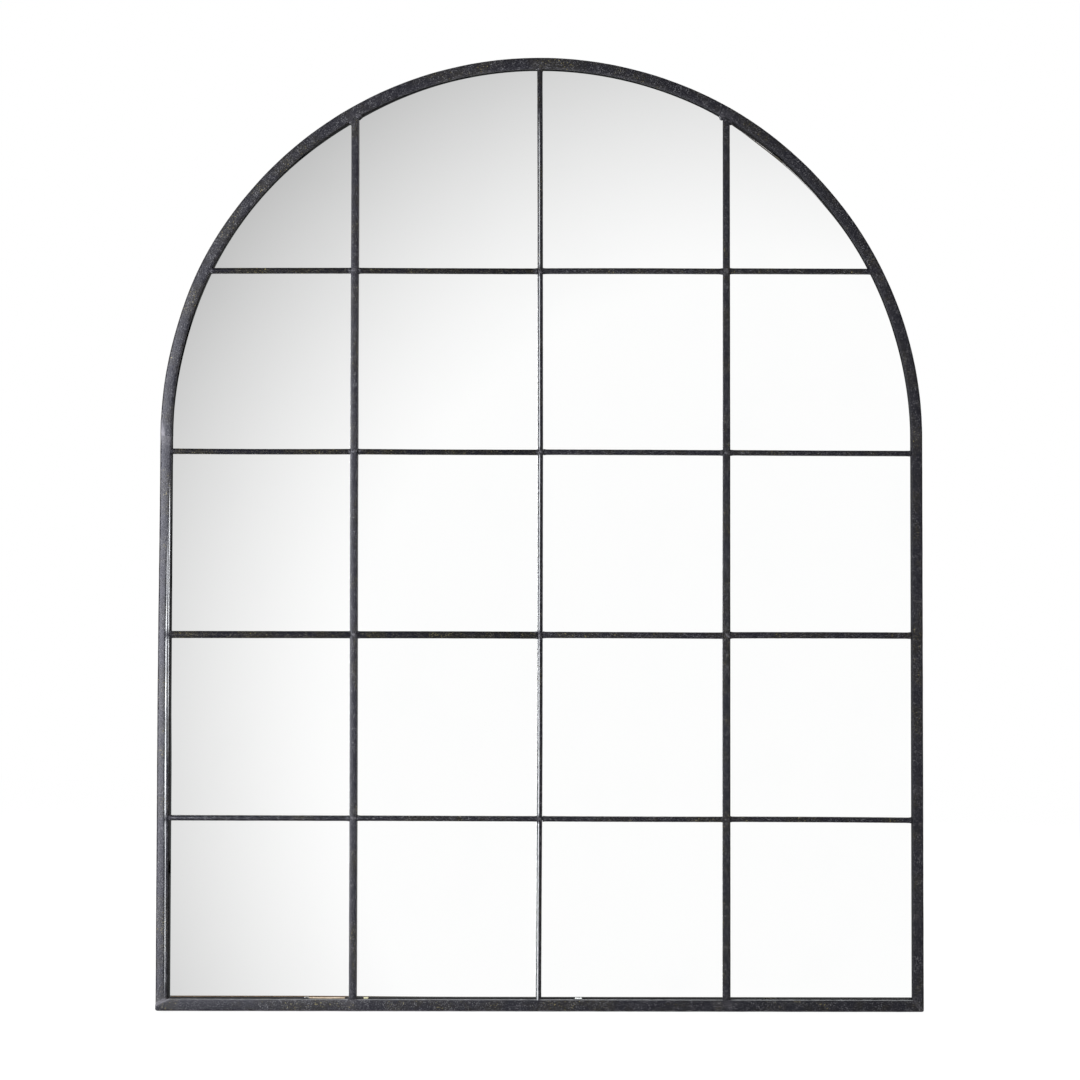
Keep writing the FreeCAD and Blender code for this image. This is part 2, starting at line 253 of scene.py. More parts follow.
@dataclass
class Skin:
    """A surface on a grid: rows along it and columns round it, its end rows closed by a cap each."""

    points: np.ndarray
    ring: bool = False

    def __post_init__(self) -> None:
        """Start with no traits."""
        self.traits = np.zeros((*self.points.shape[:2], len(Trait)))

    def mark(self, trait: Trait, amount: np.ndarray) -> "Skin":
        """Raise one trait to at least an amount.

        Args:
            trait: which trait.
            amount: how much at each point, or at each row.

        Returns:
            The skin.
        """
        channel = self.traits[..., trait.value]
        self.traits[..., trait.value] = np.clip(np.maximum(channel, amount), 0.0, 1.0)
        return self

    def flat(self) -> tuple[np.ndarray, np.ndarray, list[list[int]]]:
        """Vertices, traits and faces that point outwards.

        A grid cell is a quad. A cap is a fan of triangles about the mean of its row. The signed volume, the
        sum of each face's corner product, tells which way they turn.

        Returns:
            Vertices, traits and faces.
        """
        rows, columns, _ = self.points.shape
        index = np.arange(rows * columns).reshape(rows, columns)
        corners = [index, np.roll(index, -1, 1)]
        corners += [np.roll(corner, -1, 0) for corner in reversed(corners)]
        quads = np.stack(corners, -1)[: rows if self.ring else rows - 1].reshape(-1, 4)
        vertices, traits = self.points.reshape(-1, 3), self.traits.reshape(-1, len(Trait))
        fans = np.zeros((0, 3), int)
        if not self.ring:
            vertices = np.concatenate([vertices, self.points[[0, -1]].mean(1)])
            traits = np.concatenate([traits, self.traits[[0, -1]].mean(1)])
            hub, first, last = np.full(columns, rows * columns), index[0], index[-1]
            near = np.stack([hub, np.roll(first, -1), first], -1)
            far = np.stack([hub + 1, last, np.roll(last, -1)], -1)
            fans = np.concatenate([near, far])
        triangles = np.concatenate([quads[:, [0, 1, 2]], quads[:, [0, 2, 3]], fans])
        a, b, c = (vertices[triangles[:, k]] for k in range(3))
        if np.einsum("ij,ij->i", a, np.cross(b, c)).sum() < 0.0:
            quads, fans = quads[:, ::-1], fans[:, ::-1]
        return vertices, traits, quads.tolist() + fans.tolist()


def carry(
    path: np.ndarray,
    across: np.ndarray,
    section: Section,
    deep: np.ndarray = Y_AXIS,
) -> tuple[np.ndarray, np.ndarray]:
    """Carry a section along a path.

    Each point is the path's point plus the section's first coordinate along across and its second along deep.

    Args:
        path: rows x 3 points.
        across: rows x 3 or 3 numbers, the direction of the section's first coordinate.
        section: the outline.
        deep: the direction of its second coordinate.

    Returns:
        The points and their outward directions, rows x columns x 3.
    """
    across = np.broadcast_to(across, path.shape)

    def spread(flat: np.ndarray) -> np.ndarray:
        """The flat coordinates as directions in space, for every row."""
        return flat[None, :, :1] * across[:, None, :] + flat[None, :, 1:] * deep

    return path[:, None, :] + spread(section.points), spread(section.normals)


@dataclass(frozen=True)
class HandFit:
    """How the welded frame is a little out of true, as one smooth field that moves every piece in its plane.

    Across = -lean * (height above the spring line), held back round the right flat bar.
    Up = rise - slope * x, fading out towards the crown.
    """

    spring: float = 600.0 * MM
    lean: float = 0.0047
    held: Band = Band(200.0 * MM, 75.0 * MM, 0.75)
    rise: float = 0.6 * MM
    slope: float = 0.0015
    rise_left: Fade = Fade(890.0 * MM, -330.0 * MM)

    def bent(self, points: np.ndarray) -> np.ndarray:
        """Move points by the field.

        Args:
            points: the points.

        Returns:
            The points, moved.
        """
        x, z = points[..., 0], points[..., 2]
        moved = points.copy()
        moved[..., 0] -= self.lean * np.maximum(z - self.spring, 0.0) * (1.0 - self.held.at(x))
        moved[..., 2] += (self.rise - self.slope * x) * self.rise_left.at(z)
        return moved


HAND = HandFit()
BODY_OF = {node: body for body, nodes in frame["record"]["behaviour"]["bodies"].items() for node in nodes}
ROOT_BODY = BODY_OF["mirror_glass"]
SHARP_ANGLE = math.radians(34.0)
FRONT_NORMAL = -0.99


def make_piece(
    name: str,
    skins: Iterable[Skin],
    finishes: Sequence["Finish"],
    slot: str,
    *nodes: str,
) -> bpy.types.Object:
    """Make one mesh of several skins, dress it, and let it stand for CAD nodes.

    Args:
        name: the piece's name.
        skins: its closed surfaces.
        finishes: its materials, of which every face has the first until it is told otherwise.
        slot: the record's material slot; not used.
        nodes: the CAD nodes that it stands for.

    Returns:
        The mesh object, riding on the nodes' body.
    """
    vertices, traits, faces, start = [], [], [], 0
    for skin in skins:
        points, marks, polygons = skin.flat()
        vertices.append(points)
        traits.append(marks)
        faces += [[start + corner for corner in polygon] for polygon in polygons]
        start += len(points)
    body = BODY_OF[nodes[0]]
    placed = np.concatenate(vertices)
    placed = HAND.bent(placed) if body == ROOT_BODY else placed
    mesh = bpy.data.meshes.new(name)
    mesh.from_pydata(placed.tolist(), [], faces)
    stored = np.concatenate(traits).astype(np.float32)
    stored[:, Trait.PAINTED_HIGHLIGHT.value] = 1.0 - stored[:, Trait.PAINTED_HIGHLIGHT.value]
    mesh.attributes.new("finish", "FLOAT_COLOR", "POINT").data.foreach_set("color", stored.ravel())
    mesh.polygons.foreach_set("use_smooth", [True] * len(faces))
    mesh.set_sharp_from_angle(angle=SHARP_ANGLE)
    for finish in finishes:
        mesh.materials.append(finish.material())
    mesh.update()
    piece = bpy.data.objects.new(name, mesh)
    bpy.context.scene.collection.objects.link(piece)
    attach(piece, body)
    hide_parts(*nodes)
    LOG.info("%s: %d faces, stands for %s", name, len(faces), ", ".join(nodes))
    return piece


def dress_node(node: str, finish: "Finish") -> None:
    """Give a CAD node that stays in view its finish.

    Args:
        node: the node's name.
        finish: its only material.
    """
    mesh = frame["nodes"][node].data
    mesh.materials.clear()
    mesh.materials.append(finish.material())
    LOG.info("%s: CAD node, dressed", node)


# ---------------------------------------------------------------- shader writing


Texture = Triple  # of a noise: how wide its features are, in metres, its detail and its roughness
Ramp = tuple[float, ...]  # where a smooth rise starts, how wide it is, and how high it ends, 1 if not given
EVEN = (1.0, 1.0, 1.0)
SMOOTH = {"interpolation_type": "SMOOTHSTEP"}


class Value:
    """A number that a shader works out at each point. Its operators add Math nodes."""

    def __init__(self, shade: "Shade", socket: bpy.types.NodeSocket) -> None:
        """Wrap an output socket of a node tree."""
        self.shade, self.socket = shade, socket

    def _math(self, operation: str, first: object, second: object) -> "Value":
        """The value of a Math node on two values or numbers."""
        node = self.shade.node("ShaderNodeMath", {"operation": operation}, {0: first, 1: second})
        return Value(self.shade, node.outputs[0])

    def __add__(self, other: object) -> "Value":
        """Sum."""
        return self._math("ADD", self, other)

    __radd__ = __add__

    def __sub__(self, other: object) -> "Value":
        """Difference."""
        return self._math("SUBTRACT", self, other)

    def __rsub__(self, other: object) -> "Value":
        """Difference, this value taken away."""
        return self._math("SUBTRACT", other, self)

    def __mul__(self, other: object) -> "Value":
        """Product."""
        return self._math("MULTIPLY", self, other)

    __rmul__ = __mul__

    def __truediv__(self, other: object) -> "Value":
        """Quotient."""
        return self._math("DIVIDE", self, other)

    def __pow__(self, other: object) -> "Value":
        """Power."""
        return self._math("POWER", self, other)

    def least(self, floor: object) -> "Value":
        """This value, or floor where that is more."""
        return self._math("MAXIMUM", self, floor)

    def ramp(self, start: float, width: float, height: float = 1.0) -> "Value":
        """0 up to a start, then a smooth rise over a width to a height, which stays."""
        limits = {"Value": self, "From Min": start, "From Max": start + width, "To Max": height}
        return Value(self.shade, self.shade.node("ShaderNodeMapRange", SMOOTH, limits).outputs["Result"])


class Shade:
    """A node tree that is being written."""

    def __init__(self, tree: bpy.types.NodeTree) -> None:
        """Start with an empty tree."""
        self.tree = tree
        tree.nodes.clear()

    def node(self, kind: str, settings: dict[str, object], inputs: dict[object, object]) -> bpy.types.Node:
        """Add a node.

        Args:
            kind: its type.
            settings: its own settings, which are set first.
            inputs: values or links for its sockets, by name, number or identifier.

        Returns:
            The node.
        """
        node = self.tree.nodes.new(kind)
        for key, value in settings.items():
            setattr(node, key, value)
        by_identifier = {socket.identifier: socket for socket in node.inputs}
        for key, value in inputs.items():
            socket = by_identifier.get(key) or node.inputs[key]
            value = value.socket if isinstance(value, Value) else value
            if isinstance(value, bpy.types.NodeSocket):
                self.tree.links.new(value, socket)
            elif isinstance(value, tuple) and len(value) < len(socket.default_value):
                socket.default_value = (*value, 1.0)
            else:
                socket.default_value = value
        return node

    def noise(self, texture: Texture, stretch: Triple = EVEN) -> Value:
        """Noise over the Object coordinates, in metres.

        Args:
            texture: what it is like.
            stretch: what the coordinates along X, Y and Z are multiplied by first.

        Returns:
            The noise, from 0 to 1.
        """
        size, detail, rough = texture
        inputs = {"Vector": self.place(stretch), "Scale": 1.0 / size, "Detail": detail, "Roughness": rough}
        return Value(self, self.node("ShaderNodeTexNoise", {}, inputs).outputs["Fac"])

    def place(self, stretch: Triple = EVEN) -> bpy.types.NodeSocket:
        """Object coordinates, in metres, times a stretch along each axis."""
        seat = self.node("ShaderNodeTexCoord", {}, {}).outputs["Object"]
        return self.node("ShaderNodeMapping", {}, {"Vector": seat, "Scale": stretch}).outputs["Vector"]

    def cells(self, size: float) -> Value:
        """One random number for each cell of about size metres."""
        cells = self.node("ShaderNodeTexVoronoi", {}, {"Vector": self.place(), "Scale": 1.0 / size})
        return self.channels(cells.outputs["Color"])[0]

    def channels(self, colour: bpy.types.NodeSocket) -> list[Value]:
        """A colour's three channels."""
        split = self.node("ShaderNodeSeparateColor", {}, {"Color": colour})
        return [Value(self, socket) for socket in split.outputs]

    def blend(self, share: object, first: object, second: object) -> bpy.types.NodeSocket:
        """Mix two colours.

        Args:
            share: how much of the second there is, from 0 to 1.
            first: a colour or a link.
            second: the same.

        Returns:
            The mixed colour's socket.
        """
        inputs = {"Factor_Float": share, "A_Color": first, "B_Color": second}
        made = self.node("ShaderNodeMix", {"data_type": "RGBA"}, inputs)
        return next(socket for socket in made.outputs if socket.identifier == "Result_Color")

    def traits(self) -> list[Value]:
        """The finish attribute's channels, in the order of Trait. Its alpha is 1 less the painted highlight."""
        stored = self.node("ShaderNodeAttribute", {"attribute_name": "finish"}, {}).outputs
        return [*self.channels(stored["Color"]), 1.0 - Value(self, stored["Alpha"])]

    def rays(self) -> tuple[Value, Value]:
        """Whether a ray comes from the camera, and whether it is a reflection."""
        path = self.node("ShaderNodeLightPath", {}, {}).outputs
        return Value(self, path["Is Camera Ray"]), Value(self, path["Is Glossy Ray"])

    def bump(self, height: Value, rise: float) -> bpy.types.NodeSocket:
        """A normal tilted by a height whose whole range stands for rise metres."""
        return self.node("ShaderNodeBump", {}, {"Height": height, "Distance": rise}).outputs["Normal"]

    def surface(self, **inputs: object) -> None:
        """End the tree with one Principled shader, whose inputs are named with _ for a space."""
        named = {name.replace("_", " "): value for name, value in inputs.items()}
        shader = self.node("ShaderNodeBsdfPrincipled", {}, named)
        self.node("ShaderNodeOutputMaterial", {}, {"Surface": shader.outputs["BSDF"]})


class Finish(ABC):
    """A finish, made into a material once and then shared."""

    label: str

    def material(self) -> bpy.types.Material:
        """The material, written the first time that it is asked for.

        Returns:
            The material.
        """
        found = bpy.data.materials.get(self.label)
        if found is None:
            found = bpy.data.materials.new(self.label)
            found.use_nodes = True
            self.write(Shade(found.node_tree))
        return found

    @abstractmethod
    def write(self, shade: Shade) -> None:
        """Write the shader into an empty tree."""


@dataclass(frozen=True)
class BlackenedIron(Finish):
    """Iron blackened and waxed: mottled blue charcoal with pale specks, olive-brass flecks and worn edges, plus
    painted shade and painted highlights from the finish attribute.
    """

    label: str = "BlackenedIron"
    sheen: Colour = (0.91, 0.885, 1.0)
    blue_black: Colour = (0.0062, 0.0060, 0.0090)
    brown_black: Colour = (0.0095, 0.0086, 0.0078)
    worn_grey: Colour = (0.046, 0.043, 0.050)
    ground_and_sheen_grey: Colour = (0.150, 0.140, 0.155)
    speck_grey: Colour = (0.125, 0.121, 0.128)
    brass: Colour = (0.210, 0.175, 0.080)
    shade_and_seam_black: Colour = (0.0035, 0.0035, 0.0045)
    highlight_white: Colour = (0.80, 0.80, 0.82)
    patches: Texture = (22.0 * MM, 4.0, 0.6)
    clouds: Texture = (5.0 * MM, 5.0, 0.62)
    specks: Texture = (0.9 * MM, 2.0, 0.5)
    flecks: Texture = (1.5 * MM, 1.0, 0.4)
    skin: Texture = (2.2 * MM, 3.0, 0.55)
    browned: Ramp = (0.42, 0.22)
    specked: Ramp = (0.53, 0.13)
    speck_clouds: Ramp = (0.40, 0.25, 0.6)
    speck_least: float = 0.25
    flecked: Ramp = (0.67, 0.05)
    fleck_patches: Ramp = (0.50, 0.14, 0.75)
    worn_clouds: Ramp = (0.34, 0.30, 0.75)
    ground_clouds: Ramp = (0.30, 0.45, 0.6)
    ground_least: float = 0.35
    gloss: float = 0.27
    cloud_gloss: float = 0.22
    speck_gloss: Ramp = (0.5, 0.2, 0.10)
    worn_gloss: float = -0.05
    darkened_gloss: float = 0.5
    shine: float = 0.225
    heights: Triple = (0.6, 0.25, 0.5)
    relief: float = 0.22 * MM

    def write(self, shade: Shade) -> None:
        """Mottle first, then specks and flecks, then wear on edges, ground metal and painted sheen at joints,
        painted shade in corners and recesses along with dark seams, and painted highlight lines.

        Args:
            shade: the empty tree.
        """
        # the second trait is ground metal and painted sheen, the third painted shade with dark seams, the fourth
        # painted highlight lines
        worn, dressed, darkened, painted_highlight = shade.traits()
        patches, cloud = shade.noise(self.patches), shade.noise(self.clouds)
        specks, flecks = shade.noise(self.specks), shade.noise(self.flecks)
        colour = shade.blend(patches.ramp(*self.browned), self.blue_black, self.brown_black)
        specked = specks.ramp(*self.specked) * (self.speck_least + cloud.ramp(*self.speck_clouds))
        colour = shade.blend(specked, colour, self.speck_grey)
        flecked = flecks.ramp(*self.flecked) * patches.ramp(*self.fleck_patches)
        colour = shade.blend(flecked, colour, self.brass)
        colour = shade.blend(worn * cloud.ramp(*self.worn_clouds), colour, self.worn_grey)
        ground = dressed * (self.ground_least + cloud.ramp(*self.ground_clouds))
        colour = shade.blend(ground, colour, self.ground_and_sheen_grey)
        # painted shade and dark seams go near black, then painted highlights go near white
        colour = shade.blend(painted_highlight, shade.blend(darkened, colour, self.shade_and_seam_black), self.highlight_white)
        gloss = self.gloss + cloud * self.cloud_gloss + specks.ramp(*self.speck_gloss)
        by_cloud, by_speck, by_skin = self.heights
        height = cloud * by_cloud + specks * by_speck + shade.noise(self.skin) * by_skin
        shade.surface(
            Base_Color=colour,
            Roughness=gloss + worn * self.worn_gloss + darkened * self.darkened_gloss,
            Specular_IOR_Level=self.shine,
            Specular_Tint=self.sheen,
            Normal=shade.bump(height, self.relief),
        )


@dataclass(frozen=True)
class Silvering(Finish):
    """Silvered float glass seen from the front: a clean mirror with the least film of dust."""

    label: str = "Silvering"
    silver: Colour = (0.975, 0.978, 0.976)
    dusty: Colour = (0.945, 0.950, 0.950)
    film: Texture = (90.0 * MM, 4.0, 0.6)
    filmed: Ramp = (0.45, 0.4, 0.35)
    gloss: float = 0.012
    film_gloss: float = 0.012

    def write(self, shade: Shade) -> None:
        """A mirror whose film takes a little from its colour.

        Args:
            shade: the empty tree.
        """
        film = shade.noise(self.film)
        colour = shade.blend(film.ramp(*self.filmed), self.silver, self.dusty)
        shade.surface(Base_Color=colour, Metallic=1.0, Roughness=self.gloss + film * self.film_gloss)


@dataclass(frozen=True)
class GlassEdge(Finish):
    """The sheet's ground edges and its painted back: grey-green, satin, with grinding marks."""

    label: str = "GlassEdge"
    green: Colour = (0.055, 0.085, 0.075)
    grey: Colour = (0.040, 0.050, 0.050)
    marks: Texture = (1.2 * MM, 3.0, 0.55)
    marks_stretch: Triple = (1.0, 6.0, 1.0)
    greyed: Ramp = (0.35, 0.4)
    gloss: float = 0.30
    mark_gloss: float = 0.25
    relief: float = 0.06 * MM

    def write(self, shade: Shade) -> None:
        """Fine marks along the edge over a cloudy tint.

        Args:
            shade: the empty tree.
        """
        marks = shade.noise(self.marks, self.marks_stretch)
        shade.surface(
            Base_Color=shade.blend(marks.ramp(*self.greyed), self.green, self.grey),
            Roughness=self.gloss + marks * self.mark_gloss,
            Normal=shade.bump(marks, self.relief),
        )


@dataclass(frozen=True)
class ShimWood(Finish):
    """Raw softwood slips, with pale and yellow-green ones by how much they are dressed or worn."""

    label: str = "ShimWood"
    beige: Colour = (0.44, 0.35, 0.26)
    dark: Colour = (0.25, 0.18, 0.12)
    pale: Colour = (0.78, 0.80, 0.80)
    yellow: Colour = (0.56, 0.54, 0.34)
    yellow_share: float = 0.8
    pale_share: float = 0.85
    grain: Texture = (0.7 * MM, 4.0, 0.6)
    grain_stretch: Triple = (0.12, 1.0, 1.0)
    grained: Ramp = (0.40, 0.25, 0.7)
    gloss: float = 0.62
    grain_gloss: float = 0.2
    relief: float = 0.1 * MM

    def write(self, shade: Shade) -> None:
        """Long grain along the slip, then each slip's own tint.

        Args:
            shade: the empty tree.
        """
        worn, dressed = shade.traits()[:2]
        grain = shade.noise(self.grain, self.grain_stretch)
        colour = shade.blend(grain.ramp(*self.grained), self.beige, self.dark)
        colour = shade.blend(worn * self.yellow_share, colour, self.yellow)
        shade.surface(
            Base_Color=shade.blend(dressed * self.pale_share, colour, self.pale),
            Roughness=self.gloss + grain * self.grain_gloss,
            Normal=shade.bump(grain, self.relief),
        )


@dataclass(frozen=True)
class Fibreboard(Finish):
    """Brown pressed board: short fibres in every direction, slow clouds and darker cut edges."""

    label: str = "Fibreboard"
    tan: Colour = (0.335, 0.225, 0.135)
    brown: Colour = (0.215, 0.135, 0.078)
    fibre: Colour = (0.46, 0.34, 0.22)
    clouds: Texture = (90.0 * MM, 5.0, 0.6)
    cloud_shares: tuple[float, float] = (0.45, 0.4)
    level: Texture = (1.1 * MM, 4.0, 0.65)
    level_stretch: Triple = (0.22, 1.0, 1.0)
    pale_fibres: Ramp = (0.56, 0.14, 0.55)
    upright: Texture = (1.3 * MM, 4.0, 0.65)
    upright_stretch: Triple = (1.0, 1.0, 0.22)
    dark_fibres: Ramp = (0.58, 0.14, 0.5)
    cut_share: float = 0.5
    gloss: float = 0.68
    cloud_gloss: float = 0.15
    relief: float = 0.12 * MM

    def write(self, shade: Shade) -> None:
        """Two crossed sets of stretched noise are the fibres, over slow clouds.

        Args:
            shade: the empty tree.
        """
        darkened = shade.traits()[Trait.SHADE_AND_DARK_EDGES.value]
        cloud = shade.noise(self.clouds)
        level = shade.noise(self.level, self.level_stretch)
        upright = shade.noise(self.upright, self.upright_stretch)
        least, more = self.cloud_shares
        colour = shade.blend(least + cloud * more, self.brown, self.tan)
        colour = shade.blend(level.ramp(*self.pale_fibres), colour, self.fibre)
        colour = shade.blend(upright.ramp(*self.dark_fibres), colour, self.brown)
        shade.surface(
            Base_Color=shade.blend(darkened * self.cut_share, colour, self.brown),
            Roughness=self.gloss + cloud * self.cloud_gloss,
            Normal=shade.bump((level + upright) * 0.5, self.relief),
        )


@dataclass(frozen=True)
class ZincPlate(Finish):
    """Bright zinc on steel, clouded in small cells, with a faint yellow-blue tint and handling scratches."""

    label: str = "ZincPlate"
    bright: Colour = (0.66, 0.67, 0.67)
    straw: Colour = (0.60, 0.57, 0.47)
    dull: Colour = (0.38, 0.39, 0.40)
    cell: float = 2.4 * MM
    clouds: Texture = (7.0 * MM, 3.0, 0.55)
    tinted: Ramp = (0.42, 0.25)
    scratches: Texture = (0.5 * MM, 2.0, 0.55)
    scratch_stretch: Triple = (1.0, 1.0, 0.06)
    scratched: Ramp = (0.60, 0.1, 0.3)
    cell_share: float = 0.35
    gloss: float = 0.24
    cell_gloss: float = 0.12
    cloud_gloss: float = 0.12
    relief: float = 0.02 * MM

    def write(self, shade: Shade) -> None:
        """Cells for the spangle, slow clouds for the tint and long thin noise for scratches.

        Args:
            shade: the empty tree.
        """
        spangle, cloud = shade.cells(self.cell), shade.noise(self.clouds)
        scratch = shade.noise(self.scratches, self.scratch_stretch)
        colour = shade.blend(cloud.ramp(*self.tinted), self.bright, self.straw)
        dull = spangle * self.cell_share + scratch.ramp(*self.scratched)
        shade.surface(
            Base_Color=shade.blend(dull, colour, self.dull),
            Metallic=1.0,
            Roughness=self.gloss + spangle * self.cell_gloss + cloud * self.cloud_gloss,
            Normal=shade.bump(scratch, self.relief),
        )


@dataclass(frozen=True)
class NickelSteel(Finish):
    """Nickel-plated strip and wire: warm grey, drawn marks along it and dull where it has rubbed."""

    label: str = "NickelSteel"
    nickel: Colour = (0.56, 0.54, 0.50)
    rubbed: Colour = (0.33, 0.32, 0.30)
    drawn: Texture = (0.4 * MM, 3.0, 0.55)
    drawn_stretch: Triple = (1.0, 1.0, 0.08)
    drawn_dull: Ramp = (0.55, 0.2, 0.3)
    clouds: Texture = (5.0 * MM, 3.0, 0.55)
    cloud_dull: Ramp = (0.45, 0.25, 0.6)
    gloss: float = 0.22
    cloud_gloss: float = 0.16
    drawn_gloss: float = 0.08
    relief: float = 0.02 * MM

    def write(self, shade: Shade) -> None:
        """Drawn marks along the strip's height, over slow clouds.

        Args:
            shade: the empty tree.
        """
        drawn, cloud = shade.noise(self.drawn, self.drawn_stretch), shade.noise(self.clouds)
        dull = cloud.ramp(*self.cloud_dull) + drawn.ramp(*self.drawn_dull)
        shade.surface(
            Base_Color=shade.blend(dull, self.nickel, self.rubbed),
            Metallic=1.0,
            Roughness=self.gloss + cloud * self.cloud_gloss + drawn * self.drawn_gloss,
            Normal=shade.bump(drawn, self.relief),
        )


IRON_SLOT = "blackened_iron"
IRON = BlackenedIron()
DRAWN_IRON = BlackenedIron(label="DrawnIron", gloss=0.15, relief=0.10 * MM)
# A darker, duller copy of the iron: painted shade for the left rods of the upper three rows, nearest the left
# lamp.
SHADED_IRON = BlackenedIron(
    label="ShadedIron",
    speck_grey=(0.070, 0.064, 0.050),
    gloss=0.20,
    shine=0.045,
    relief=0.14 * MM,
)


# ---------------------------------------------------------------- sizes from the frame


@dataclass(frozen=True)
class Outline:
    """The frame's main sizes, in metres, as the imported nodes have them."""

    half_width: float
    face: float
    front: float
    back: float
    spring: float
    glass_front: float

    @classmethod
    def from_frame(cls) -> "Outline":
        """Read them from the left upright and the glass."""
        low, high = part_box("left_upright")
        return cls(-low.x, high.x - low.x, low.y, high.y, high.z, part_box("mirror_glass")[0].y)

    @property
    def inner(self) -> float:
        """Half the width between the frame's inner faces, which is also the arch's inner radius."""
        return self.half_width - self.face

    @property
    def middle(self) -> float:
        """The depth of the frame's middle."""
        return (self.front + self.back) / 2

    def crown_at(self, x: Number) -> Number:
        """Height of the arch's inner face above a place across: the circle's formula."""
        return self.spring + np.sqrt(self.inner**2 - np.square(x))


@dataclass(frozen=True)
class Span:
    """A CAD node's box: its two corners, its middle and its size."""

    low: np.ndarray
    high: np.ndarray

    @classmethod
    def of(cls, node: str) -> "Span":
        """The box of a node."""
        return cls(*(np.array(corner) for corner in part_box(node)))

    @property
    def middle(self) -> np.ndarray:
        """Its middle."""
        return (self.low + self.high) / 2

    @property
    def size(self) -> np.ndarray:
        """Its size along X, Y and Z."""
        return self.high - self.low


def facing_front(out: np.ndarray) -> np.ndarray:
    """How squarely each outward direction faces the front, from 0 to 1."""
    return np.clip(-out[..., 1], 0.0, 1.0)


def axes(points: np.ndarray) -> np.ndarray:
    """The points' places across, deep and up, one array of each."""
    return np.moveaxis(points, -1, 0)


# ---------------------------------------------------------------- frame tube


@dataclass(frozen=True)
class SheenLine:
    """A painted highlight line beside a groove with painted shade, on the left upright: where it runs and how
    bright.

    Distances are from the upright's outer face, heights from its foot.
    """

    foot_place: float
    drift: float
    width: float
    low: float
    high: float
    strength: float
    end_length: float = 45.0 * MM

    def share(self, from_outside: np.ndarray, height: np.ndarray) -> np.ndarray:
        """How much of the painted highlight line each point is: a bell across it, eased in and out at its ends."""
        reach = ease((height - self.low) / self.end_length) * ease((self.high - height) / self.end_length)
        return hump(from_outside - self.foot_place - self.drift * height, self.width) * reach


